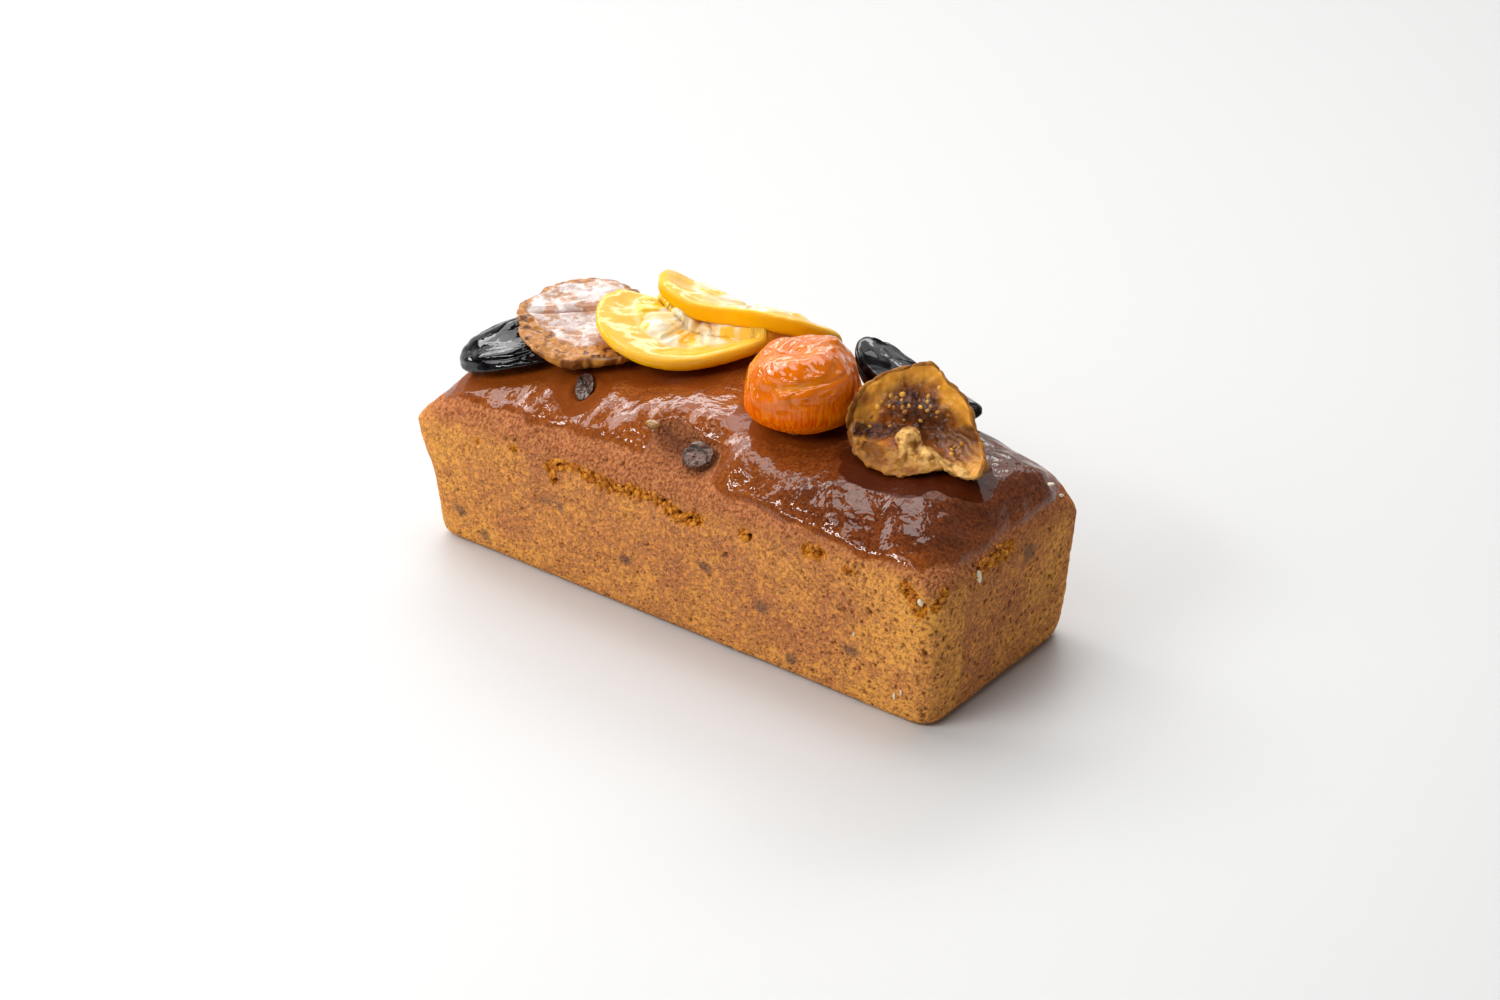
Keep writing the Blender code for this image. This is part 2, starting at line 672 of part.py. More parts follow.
def make_front_slice(place, beds, finish):
    """The slice that lies on the flat fig, thin and low at the left and lifted towards the apricot."""

    def radius_at(turn):
        full = 27.5 * MM + 4.2 * MM * bell(turn - 0.9, 0.6)
        return full - 3.2 * MM * bell(turn - 2.1, 0.55) - 3.5 * MM * bell(turn, 0.2)

    def thickness_at(turn):
        return 4.6 * MM - 1.2 * MM * bell(turn - 0.8, 0.7)

    def bend(x, y):
        left = 5.0 * MM * (max(0.0, x) / (28 * MM)) ** 2
        right = 7.5 * MM * (min(0.0, x) / (28 * MM)) ** 2 * smoothstep(0.0, 14 * MM, y)
        return left + right - 1.0 * MM * y / (28 * MM) - 2.5 * MM * (1 - y / (28 * MM))

    return make_half_slice("orange_front", place, radius_at, thickness_at, bend, beds, finish)


def make_back_slice(place, beds, finish):
    """The slice that bends over the front one, with its ends drooping and its cut edge to the back."""

    def radius_at(turn):
        return 29.5 * MM * (1 - 0.47 * math.sin(turn) ** 2)

    def thickness_at(turn):
        return 5.4 * MM - 0.5 * MM * math.cos(turn)

    def bend(x, y):
        right = max(0.0, -x / (28 * MM))
        twist = 0.30 * smoothstep(14 * MM, -8 * MM, x)
        curl = 4.6 * MM * smoothstep(0.0, 32 * MM, x) * smoothstep(15 * MM, 3 * MM, y)
        return twist * (y - 4 * MM) - 0.4 * MM * right**3 + curl + 0.3 * MM * math.sin(x / (7 * MM))

    return make_half_slice("orange_back", place, radius_at, thickness_at, bend, beds, finish)


# ---------------------------------------------------------------- the whole cake
def at(x, y, z):
    """A point given in millimetres."""
    return (x * MM, y * MM, z * MM)


def build():
    clear_scene()
    crust = material("crust", (0.36, 0.14, 0.045), 0.55, 0.3)
    prune_skin = material("prune_skin", (0.012, 0.009, 0.010), 0.2, 1.0)
    raisin_skin = material("raisin_skin", (0.05, 0.025, 0.018), 0.35, 0.6)
    fig_skin = material("fig_skin", (0.45, 0.22, 0.07), 0.35, 0.8)
    orange_peel = material("orange_peel", (0.90, 0.42, 0.02), 0.25, 1.0)
    apricot_skin = material("apricot_skin", (0.78, 0.20, 0.02), 0.28, 1.0)

    loaf = tree_of(make_loaf(crust))

    place = placement(at(5.0, -25.8, 50.0), 20, 0, 36)
    make_raisin("raisin_crater", place, at(9.0, 7.5, 5.5), 1.0, [loaf], raisin_skin)
    place = placement(at(-39.2, -19.2, 51.4), -52, 10)
    dark_raisin = tree_of(make_raisin("raisin_by_fig", place, at(9.0, 6.0, 3.8), 2.0, [loaf], raisin_skin))

    place = placement(at(-69.0, -14.5, 54.5), 14, -14, 14)
    left = tree_of(make_prune("prune_left", place, at(33, 23, 14), 0.0, 0.6 * MM, 3.0 * MM, [loaf], prune_skin))

    place = placement(at(-53.0, -0.5, 54.8), 20, 2, 4.5)
    flat_fig = tree_of(make_flat_fig(place, [loaf, dark_raisin, left], fig_skin))

    place = placement(at(-28.0, 18.6, 61.2), 200)
    front = tree_of(make_front_slice(place, [loaf, flat_fig], orange_peel))

    place = placement(at(-17.5, 27.0, 61.6), 184, 0, 14)
    back = tree_of(make_back_slice(place, [loaf, flat_fig, front], orange_peel))

    place = placement(at(41.0, 21.5, 64.2), -10, 7, -8)
    right = tree_of(
        make_prune("prune_right", place, at(44, 21, 13), 6.0, -2.6 * MM, 0.0, [loaf, back], prune_skin)
    )

    place = placement(at(21.7, -3.6, 67.8), 0, -5, 8)
    apricot = tree_of(make_apricot(place, [loaf], [front, back, right], apricot_skin))

    place = placement(at(55.4, 1.0, 66.0), 12, 14, 42)
    make_open_fig(place, [loaf, right], [apricot], fig_skin)


build()
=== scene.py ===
"""The looks of a small glazed fruit pound cake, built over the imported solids.

Sizes are in millimetres, save those of camera, light and floor. Points are numpy arrays with one row
for each vertex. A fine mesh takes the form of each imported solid, gets its small relief from the
functions below, and carries named values per vertex that its procedural material reads. In those
functions p are the points of a mesh, q the same points in the piece's own frame, n their normals, out
the relief that is added along them, and f the finish that is being made.
"""

import itertools
import math

import bmesh
import bpy
import numpy as np
from mathutils import Matrix, Vector
from mathutils.bvhtree import BVHTree


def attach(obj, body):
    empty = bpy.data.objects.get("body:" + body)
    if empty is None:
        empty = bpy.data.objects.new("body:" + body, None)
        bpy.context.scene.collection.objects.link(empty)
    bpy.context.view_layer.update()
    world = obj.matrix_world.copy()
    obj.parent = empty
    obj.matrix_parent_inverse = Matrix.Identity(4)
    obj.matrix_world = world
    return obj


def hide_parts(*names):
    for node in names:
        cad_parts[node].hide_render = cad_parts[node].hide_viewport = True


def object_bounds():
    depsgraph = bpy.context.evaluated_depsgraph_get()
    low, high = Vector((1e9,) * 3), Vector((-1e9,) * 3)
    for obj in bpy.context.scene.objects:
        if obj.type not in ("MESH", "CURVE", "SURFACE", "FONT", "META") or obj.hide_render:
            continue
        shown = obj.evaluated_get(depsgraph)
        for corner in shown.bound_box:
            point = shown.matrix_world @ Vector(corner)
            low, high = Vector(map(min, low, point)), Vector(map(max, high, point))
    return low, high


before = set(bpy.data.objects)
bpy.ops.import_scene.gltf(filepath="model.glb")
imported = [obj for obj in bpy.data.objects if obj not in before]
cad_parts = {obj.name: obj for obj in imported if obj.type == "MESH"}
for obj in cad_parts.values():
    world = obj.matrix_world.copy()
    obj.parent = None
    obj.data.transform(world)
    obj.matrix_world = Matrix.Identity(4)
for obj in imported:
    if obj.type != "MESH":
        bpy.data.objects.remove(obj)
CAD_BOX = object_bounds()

MM = 0.001
CAD_LOW = np.array(CAD_BOX[0]) / MM
CAD_HIGH = np.array(CAD_BOX[1]) / MM

# ---------------- camera, light and floor, in metres
CAMERA_PLACE = (0.4715, -0.6034, 0.4518)
CAMERA_TARGET = (-0.0099, 0.0154, 0.0150)
CAMERA_LENS = 78.0

HORIZON_LIGHT = 0.75
ZENITH_LIGHT = 0.15
FRONT_SHARE = 0.25  # how bright the room in front of the cake is, against the room behind it
FLOOR_SIZE = 6.0

# Soft panels, aimed at the cake: place, width, height, watts for each square metre, seen in gloss or not.
PANELS = (
    ("light_strip", (-1.03, 0.86, 1.05), 2.1, 0.32, 14.0, True),
    ("light_veil", (-0.84, 1.05, 1.21), 2.2, 1.4, 3.6, True),
    ("light_top", (-0.16, 0.24, 1.25), 0.95, 0.55, 11.0, True),
    ("light_key", (-0.45, -1.00, 0.75), 0.9, 0.7, 9.8, False),
    ("light_side", (-0.98, -0.06, 0.88), 0.7, 0.55, 12.0, True),
    ("light_front", (0.05, -0.75, 1.15), 0.8, 0.35, 10.5, True),
    ("light_glint", (-0.40, -0.85, 0.80), 0.50, 0.10, 60.0, True),
)


def aim(item, target):
    item.rotation_mode = "QUATERNION"
    item.rotation_quaternion = (Vector(target) - item.location).to_track_quat("-Z", "Y")


def add_camera():
    camera = bpy.data.objects.new("camera", bpy.data.cameras.new("camera"))
    bpy.context.scene.collection.objects.link(camera)
    camera.data.lens = CAMERA_LENS
    camera.data.clip_start = 0.01
    camera.location = CAMERA_PLACE
    aim(camera, CAMERA_TARGET)
    bpy.context.scene.camera = camera


def add_lights():
    world = bpy.data.worlds.new("studio")
    world.use_nodes = True
    tree = world.node_tree
    way = tree.nodes.new("ShaderNodeSeparateXYZ")
    tree.links.new(tree.nodes.new("ShaderNodeTexCoord").outputs["Generated"], way.inputs[0])
    strength = tree.nodes.new("ShaderNodeMath")
    strength.operation = "MULTIPLY"
    fades = (("Z", 0.05, 0.40, HORIZON_LIGHT, ZENITH_LIGHT), ("Y", -0.35, 0.25, FRONT_SHARE, 1.0))
    for socket, (axis, low, high, at_low, at_high) in zip(strength.inputs, fades):
        fade = tree.nodes.new("ShaderNodeMapRange")
        tree.links.new(way.outputs[axis], fade.inputs["Value"])
        fade.inputs["From Min"].default_value = low
        fade.inputs["From Max"].default_value = high
        fade.inputs["To Min"].default_value = at_low
        fade.inputs["To Max"].default_value = at_high
        tree.links.new(fade.outputs["Result"], socket)
    tree.nodes["Background"].inputs["Color"].default_value = (1.0, 1.0, 1.0, 1.0)
    tree.links.new(strength.outputs[0], tree.nodes["Background"].inputs["Strength"])
    bpy.context.scene.world = world
    for name, place, width, height, strength, glossy in PANELS:
        lamp = bpy.data.lights.new(name, "AREA")
        lamp.shape = "RECTANGLE"
        lamp.size = width
        lamp.size_y = height
        lamp.energy = strength * width * height
        panel = bpy.data.objects.new(name, lamp)
        panel.location = place
        panel.visible_glossy = glossy
        aim(panel, (0.0, 0.0, 0.05))
        bpy.context.scene.collection.objects.link(panel)


def add_floor():
    mesh = bpy.data.meshes.new("floor")
    half = FLOOR_SIZE / 2
    corners = [(-half, -half, 0), (half, -half, 0), (half, half, 0), (-half, half, 0)]
    mesh.from_pydata(corners, [], [(0, 1, 2, 3)])
    floor = bpy.data.objects.new("floor", mesh)
    bpy.context.scene.collection.objects.link(floor)
    finish = Finish("floor_white", roughness=0.45)
    finish.feed("Base Color", finish.mix(finish.noise(400.0), (0.67, 0.67, 0.665), (0.69, 0.69, 0.685)))
    mesh.materials.append(finish.material)


# ---------------- procedural finishes
class Finish:
    """A Principled shader and the nodes that feed it. Lengths are in millimetres."""

    def __init__(self, name, **fixed):
        self.material = bpy.data.materials.new(name)
        self.material.use_nodes = True
        self.tree = self.material.node_tree
        self.shader = self.tree.nodes["Principled BSDF"]
        self.place = self.node("ShaderNodeTexCoord").outputs["Object"]
        for socket, value in fixed.items():
            self.feed(socket.replace("_", " ").title().replace("Ior", "IOR"), value)

    def node(self, kind, **settings):
        made = self.tree.nodes.new(kind)
        for name, value in settings.items():
            setattr(made, name, value)
        return made

    def put(self, socket, value):
        """Links a socket to another, or sets it to a number or a colour."""
        if isinstance(value, bpy.types.NodeSocket):
            self.tree.links.new(value, socket)
        elif isinstance(value, tuple) and len(value) == 3 and socket.type == "RGBA":
            socket.default_value = (*value, 1.0)
        else:
            socket.default_value = value

    def feed(self, name, value):
        self.put(self.shader.inputs[name], value)

    def value(self, name):
        """A value that the mesh carries for each vertex."""
        return self.node("ShaderNodeAttribute", attribute_name=name).outputs["Fac"]

    def stretched(self, stretch):
        if stretch == (1, 1, 1):
            return self.place
        scaled = self.node("ShaderNodeVectorMath", operation="MULTIPLY")
        self.put(scaled.inputs[0], self.place)
        scaled.inputs[1].default_value = tuple(1 / s for s in stretch)
        return scaled.outputs[0]

    def noise(self, size, detail=3.0, rough=0.55, stretch=(1, 1, 1), bend=0.0):
        """Soft noise from 0 to 1 with lumps of the given size."""
        made = self.node("ShaderNodeTexNoise")
        self.put(made.inputs["Vector"], self.stretched(stretch))
        made.inputs["Scale"].default_value = 1 / (size * MM)
        made.inputs["Detail"].default_value = detail
        made.inputs["Roughness"].default_value = rough
        made.inputs["Distortion"].default_value = bend
        return made.outputs["Fac"]

    def cells(self, size):
        """Distance to the nearest of many scattered points, in cells."""
        made = self.node("ShaderNodeTexVoronoi")
        self.put(made.inputs["Vector"], self.place)
        made.inputs["Scale"].default_value = 1 / (size * MM)
        return made.outputs["Distance"]

    def sum(self, a, b):
        return self.math("ADD", a, b)

    def times(self, a, b):
        return self.math("MULTIPLY", a, b)

    def math(self, operation, a, b):
        made = self.node("ShaderNodeMath", operation=operation)
        self.put(made.inputs[0], a)
        self.put(made.inputs[1], b)
        return made.outputs[0]

    def step(self, low, high, value):
        """0 below low, 1 above high, smooth between. With low above high it falls instead."""
        made = self.node("ShaderNodeMapRange", interpolation_type="SMOOTHSTEP")
        rising = low < high
        self.put(made.inputs["Value"], value)
        made.inputs["From Min"].default_value = min(low, high)
        made.inputs["From Max"].default_value = max(low, high)
        made.inputs["To Min"].default_value = 0.0 if rising else 1.0
        made.inputs["To Max"].default_value = 1.0 if rising else 0.0
        return made.outputs["Result"]

    def between(self, factor, low, high):
        """A number that runs from low to high with the factor."""
        made = self.node("ShaderNodeMapRange")
        self.put(made.inputs["Value"], factor)
        made.inputs["To Min"].default_value = low
        made.inputs["To Max"].default_value = high
        return made.outputs["Result"]

    def mix(self, factor, a, b):
        """A colour between two colours. The node's colour sockets have these numbers."""
        made = self.node("ShaderNodeMix", data_type="RGBA")
        self.put(made.inputs[0], factor)
        self.put(made.inputs[6], a)
        self.put(made.inputs[7], b)
        return made.outputs[2]

    def blend(self, factor, a, b):
        """A way between two ways."""
        made = self.node("ShaderNodeMix", data_type="VECTOR")
        self.put(made.inputs[0], factor)
        self.put(made.inputs[4], a)
        self.put(made.inputs[5], b)
        unit = self.node("ShaderNodeVectorMath", operation="NORMALIZE")
        self.put(unit.inputs[0], made.outputs[1])
        return unit.outputs[0]

    def up(self):
        """The way straight up, as a normal of a level surface."""
        made = self.node("ShaderNodeCombineXYZ")
        made.inputs[2].default_value = 1.0
        return made.outputs[0]

    def bump(self, height, depth, under=None, strength=1.0):
        """A normal for relief of the given height map, its depth in millimetres."""
        made = self.node("ShaderNodeBump")
        self.put(made.inputs["Height"], height)
        self.put(made.inputs["Strength"], strength)
        made.inputs["Distance"].default_value = depth * MM
        if under is not None:
            self.put(made.inputs["Normal"], under)
        return made.outputs["Normal"]


# ---------------- fields over points
def smoothstep(low, high, value):
    t = np.clip((value - low) / (high - low), 0.0, 1.0)
    return t * t * (3 - 2 * t)


def bell(distance, width):
    """A smooth hump of height 1 that has faded at about twice its width."""
    return np.exp(-((distance / width) ** 2))


def hashed(cells, seed):
    """A repeatable number from 0 to 1 for each lattice cell."""
    mask = 0xFFFFFFFF
    n = (cells[..., 0] * 73856093) ^ (cells[..., 1] * 19349663) ^ (cells[..., 2] * 83492791)
    n = n ^ (seed * 40503)
    n = (n & mask) * 0x45D9F3B & mask
    n = (n ^ (n >> 15)) * 0x2C1B3C6D & mask
    n = n ^ (n >> 13)
    return (n & 0xFFFFFF) / 0xFFFFFF


def noise(points, size, seed=0, layers=1):
    """Soft noise of about -1 to 1 with lumps of the given size, and finer layers of half the size each."""
    total = np.zeros(len(points))
    share = 1.0
    for layer in range(layers):
        spot = points / size + 500.0
        cell = np.floor(spot).astype(np.int64)
        part = spot - cell
        part = part * part * (3 - 2 * part)
        level = np.zeros(len(points))
        for corner in itertools.product((0, 1), repeat=3):
            weight = np.prod(np.where(corner, part, 1 - part), axis=1)
            level += weight * hashed(cell + corner, seed + 17 * layer)
        total += share * (2 * level - 1)
        size = np.asarray(size) / 2.03
        share *= 0.5
    return total


def pits(points, size, seed, radius=(0.25, 0.5), share=1.0):
    """1 in the middle of scattered round pits and 0 outside them. Radii are in cells of the given size."""
    spot = points / size + 500.0
    cell = np.floor(spot).astype(np.int64)
    deepest = np.zeros(len(points))
    for step in itertools.product((-1, 0, 1), repeat=3):
        near = cell + step
        centre = near + np.stack([hashed(near, seed + k) for k in (1, 2, 3)], axis=1)
        reach = radius[0] + (radius[1] - radius[0]) * hashed(near, seed + 4) ** 2
        there = hashed(near, seed + 5) < share
        gap = np.linalg.norm(spot - centre, axis=1) / reach
        deepest = np.maximum(deepest, np.where(there, 1 - smoothstep(0.35, 1.0, gap), 0.0))
    return deepest


def crease(points, size, seed, width=0.2):
    """1 along winding lines and 0 away from them, as where a wrinkled skin folds in."""
    return bell(noise(points, size, seed), width)


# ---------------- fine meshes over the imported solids
SAME_CORNER = 0.002  # corners closer than this are joined
WIDEST_FOLD = 50.0  # degrees of fold between two triangles that may still be paired
WIDEST_SKEW = 70.0  # degrees by which the corners of such a pair may differ from square

# For each node the cell size of its fine mesh, and how many times that is smoothed.
FINE_MESHES = {
    "loaf": (0.68, 4),
    "prune_left": (0.35, 4),
    "prune_right": (0.35, 4),
    "raisin_crater": (0.2, 3),
    "raisin_by_fig": (0.2, 3),
    "apricot": (0.36, 5),
    "fig_flat": (0.32, 4),
    "fig_open": (0.3, 4),
    "orange_front": (0.33, 3),
    "orange_back": (0.33, 3),
}


def points_of(mesh):
    flat = np.zeros(3 * len(mesh.vertices))
    mesh.vertices.foreach_get("co", flat)
    return flat.reshape(-1, 3) / MM


def normals_of(mesh):
    flat = np.zeros(3 * len(mesh.vertices))
    mesh.vertex_normals.foreach_get("vector", flat)
    return flat.reshape(-1, 3)


def set_points(mesh, points):
    """Moves the vertices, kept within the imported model's box."""
    kept = np.clip(points, CAD_LOW, CAD_HIGH)
    mesh.vertices.foreach_set("co", (kept * MM).astype(np.float32).ravel())
    mesh.update()


def set_values(mesh, **values):
    """Gives the mesh named values, each with a number for every vertex."""
    for name, numbers in values.items():
        layer = mesh.attributes.new(name, "FLOAT", "POINT")
        layer.data.foreach_set("value", np.asarray(numbers, dtype=np.float32))


def add_piece(name, mesh, finish, nodes=()):
    """A visible piece of the cake, which rides on its one body."""
    piece = bpy.data.objects.new(name, mesh)
    bpy.context.scene.collection.objects.link(piece)
    mesh.materials.clear()
    mesh.materials.append(finish.material)
    mesh.shade_smooth()
    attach(piece, "root")
    if nodes:
        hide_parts(*nodes)
    return piece


def merged_copy(node):
    """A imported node's mesh with its shared corners joined and its triangles paired where they can be."""
    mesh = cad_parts[node].data.copy()
    shape = bmesh.new()
    shape.from_mesh(mesh)
    bmesh.ops.remove_doubles(shape, verts=shape.verts, dist=SAME_CORNER * MM)
    bmesh.ops.join_triangles(
        shape,
        faces=shape.faces,
        angle_face_threshold=math.radians(WIDEST_FOLD),
        angle_shape_threshold=math.radians(WIDEST_SKEW),
    )
    shape.to_mesh(mesh)
    shape.free()
    return mesh


def fine_mesh(node):
    """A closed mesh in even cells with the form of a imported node, its facets rounded."""
    cell, smoothing = FINE_MESHES[node]
    rough = bpy.data.objects.new("rough", merged_copy(node))
    bpy.context.scene.collection.objects.link(rough)
    rounded = rough.modifiers.new("rounded", "SUBSURF")
    rounded.levels = 2
    rounded.render_levels = 2
    even = rough.modifiers.new("even", "REMESH")
    even.mode = "VOXEL"
    even.voxel_size = cell * MM
    smooth = rough.modifiers.new("smooth", "SMOOTH")
    smooth.iterations = smoothing
    graph = bpy.context.evaluated_depsgraph_get()
    mesh = bpy.data.meshes.new_from_object(rough.evaluated_get(graph))
    bpy.data.objects.remove(rough)
    for layer in [a.name for a in mesh.attributes if not a.is_required]:
        mesh.attributes.remove(mesh.attributes[layer])
    return mesh


def tree_of_mesh(mesh):
    return BVHTree.FromPolygons([v.co for v in mesh.vertices], [p.vertices for p in mesh.polygons])


def tree_of_node(node):
    return tree_of_mesh(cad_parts[node].data)


def placement(centre, heading, pitch=0.0, roll=0.0):
    """A piece's own frame, in millimetres and degrees: turned by roll, then pitch, then heading."""
    turn = Matrix.Rotation(math.radians(heading), 4, "Z")
    turn @= Matrix.Rotation(math.radians(pitch), 4, "Y")
    turn @= Matrix.Rotation(math.radians(roll), 4, "X")
    return Matrix.Translation(centre) @ turn


def local(points, place):
    """Points in a piece's own frame."""
    back = np.array(place.inverted())
    return points @ back[:3, :3].T + back[:3, 3]


# ---------------- the loaf
WALL_HEIGHT = 37.0
FRUIT = ("prune_left", "fig_flat", "orange_front", "orange_back", "apricot", "prune_right", "fig_open",
         "raisin_by_fig")

# Raisins that show through the walls: place, half width along the wall and half height.
WALL_RAISINS = (
    ((-74.6, -32.4, 10.7), 3.0, 2.2),
    ((-65.9, -32.0, 5.6), 2.6, 2.0),
    ((-41.5, -33.3, 25.4), 2.4, 1.8),
    ((-36.6, -33.3, 24.8), 1.6, 2.0),
    ((-14.6, -32.8, 16.3), 2.8, 1.6),
    ((13.0, -33.2, 24.2), 3.0, 1.6),
    ((31.6, -32.9, 18.5), 2.4, 2.6),
    ((40.1, -32.0, 5.5), 2.2, 2.6),
    ((59.7, -32.7, 16.3), 3.0, 2.2),
    ((86.4, 8.2, 35.9), 3.6, 3.0),
    ((20.0, 33.0, 22.0), 3.0, 2.0),
    ((-45.0, 33.0, 14.0), 2.6, 2.0),
    ((58.0, 33.0, 9.0), 2.6, 2.2),
    ((-10.0, 33.0, 31.0), 2.4, 1.8),
    ((-88.5, 6.0, 27.0), 2.8, 2.2),
    ((-86.0, -14.0, 9.0), 2.4, 2.0),
)

# Torn spots, where crumb shows: half width, then the points of a line along the wall.
TORN_LINES = (
    (1.7, ((-40.2, -33.6, 36.6), (-36.0, -33.8, 37.9), (-31.8, -33.8, 39.0), (-25.7, -33.9, 38.2),
           (-16.6, -33.9, 37.8), (-9.1, -33.9, 39.2), (-1.5, -33.9, 38.5), (3.2, -33.9, 36.8),
           (11.0, -33.9, 37.3))),
    (1.2, ((-40.2, -33.6, 36.6), (-38.7, -33.5, 32.8))),
    (1.3, ((24.3, -33.9, 38.7), (27.9, -33.9, 38.7))),
    (1.8, ((46.8, -33.9, 41.2), (50.2, -33.9, 41.8))),
    (1.2, ((58.6, -33.9, 40.2), (60.3, -33.9, 39.8))),
    (1.0, ((-53.0, -33.6, 37.9), (-52.0, -33.6, 37.6))),
    (0.9, ((-65.8, -33.6, 36.1), (-65.2, -33.6, 35.9))),
    (1.8, ((76.9, -33.9, 40.8), (79.4, -33.8, 38.6), (81.2, -33.3, 36.0))),
    (1.2, ((85.2, -28.3, 41.0), (85.4, -29.3, 38.6), (84.6, -31.2, 36.8))),
    (1.9, ((86.0, -14.0, 40.4), (86.2, -9.0, 40.9), (86.2, -5.2, 40.7), (85.8, 0.2, 41.2))),
    (1.5, ((-34.0, 33.9, 38.0), (-20.0, 33.9, 38.8), (-6.0, 33.9, 38.0), (8.0, 33.9, 38.6),
           (15.0, 33.9, 37.8))),
    (1.3, ((-88.6, -12.0, 37.4), (-88.8, -2.0, 38.4), (-88.4, 9.0, 37.6))),
)

# Single open pores that are larger than the rest: place and radius.
WIDE_PORES = (
    ((82.6, -32.4, 23.4), 0.9),
    ((85.0, 1.5, 23.6), 0.9),
    ((82.0, -31.5, 4.0), 1.0),
    ((-52.5, -33.6, 40.5), 0.8),
    ((20.0, -33.6, 30.5), 0.8),
    ((66.0, -33.3, 30.0), 0.8),
    ((85.2, 20.0, 31.0), 0.8),
)

# The crater in the front of the crown: the middle of its floor, and the middle of the lip at its left end.
CRATER_LINE = ((-6.0, -24.0, 0.0), (6.5, -25.0, 0.0))
CRATER_LIP = (-11.5, -22.0)
FRUIT_REACH = 8.0  # how far from a fruit the glaze still takes notice of it


def split_height(p):
    """Height of the split between wall and crown at each point."""
    x, y = p[:, 0], p[:, 1]
    climb = 4.0 * smoothstep(-5, 62, x) - 3.4 * smoothstep(76, 84, x)
    dip = 2.2 * smoothstep(-52, -70, x)
    side = smoothstep(-12, -30, y) + 0.4 * smoothstep(12, 30, y)
    return WALL_HEIGHT + (climb - dip) * side


def above_glaze_edge(p):
    """How far each point lies above the lower edge of the glaze."""
    x, _, z = p.T
    left = np.minimum(x + 15.0, 0.0)
    right = np.maximum(x + 15.0, 0.0)
    level = 48.0 - 0.0014 * left**2 - 0.035 * right
    return z - level - 1.1 * noise(p, 9.0, 31) - 0.5 * noise(p, 3.5, 32)


def line_distance(p, line):
    """Distance of each point to a line of joined pieces."""
    nearest = np.full(len(p), 1e3)
    for a, b in itertools.pairwise(np.array(line)):
        share = np.clip((p - a) @ (b - a) / ((b - a) @ (b - a)), 0.0, 1.0)
        nearest = np.minimum(nearest, np.linalg.norm(p - a - share[:, None] * (b - a), axis=1))
    return nearest


def torn_strength(p):
    """1 in the torn spots, with ragged edges, and 0 elsewhere."""
    torn = np.zeros(len(p))
    for width, line in TORN_LINES:
        ragged = width * (1.0 + 0.45 * noise(p, 3.0, 4) + 0.25 * noise(p, 1.4, 5))
        torn = np.maximum(torn, 1 - smoothstep(0.55, 1.25, line_distance(p, line) / ragged))
    return torn


def fruit_distance(points):
    """Distance of each point to the nearest fruit, up to the reach."""
    trees = [tree_of_node(node) for node in FRUIT]
    nearest = np.full(len(points), FRUIT_REACH)
    high = np.nonzero(points[:, 2] > 44.0)[0]
    for index in high:
        spot = Vector(points[index]) * MM
        for tree in trees:
            found = tree.find_nearest(spot, nearest[index] * MM)[3]
            if found is not None:
                nearest[index] = min(nearest[index], found / MM)
    return nearest


def raisin_shade(p):
    """How strongly a raisin shows under the skin at each point."""
    shade = np.zeros(len(p))
    for centre, wide, high in WALL_RAISINS:
        gap = p - np.array(centre)
        along = np.hypot(gap[:, 0], gap[:, 1]) / wide
        reach = np.hypot(along, gap[:, 2] / high) + 0.3 * noise(p, 2.0, 40)
        shade = np.maximum(shade, 1 - smoothstep(0.4, 1.15, reach))
    return shade


def blisters(p):
    """Round bubbles of crust, closest together in front of the orange slices."""
    near = bell(np.hypot((p[:, 0] + 6) / 2.0, p[:, 1] + 18), 8.0)
    return pits(p, 4.6, 26, (0.35, 0.6), 0.7) * near + pits(p, 8.0, 27, (0.2, 0.4), 0.5)


def crater_distance(p):
    """Distance of each point, seen from above, to the middle of the crater in the front of the crown."""
    return line_distance(p * (1, 1, 0), CRATER_LINE) + 0.9 * noise(p, 4.0, 38)


def wall_pores(p):
    """Small round pores in the walls, and the few wide ones."""
    pores = pits(p, 2.6, 11, (0.18, 0.36), 0.35)
    for centre, radius in WIDE_PORES:
        gap = np.linalg.norm(p - np.array(centre), axis=1) / radius
        pores = np.maximum(pores, 1.6 * (1 - smoothstep(0.4, 1.3, gap)))
    return pores


def golden_share(p):
    """How golden the walls are: most at the left, at the front right corner and along the foot."""
    x, y, z = p.T
    gold = 0.36 + 0.26 * noise(p, 11.0, 33, 2) + 0.30 * smoothstep(-45, -80, x)
    gold += 0.45 * smoothstep(45, 75, x) * (y < -20)
    gold += 0.30 * smoothstep(14, 3, z) * (x < 80)
    gold += 0.30 * smoothstep(-5, 20, y) * (x > 80)
    return np.clip(gold, 0, 1)


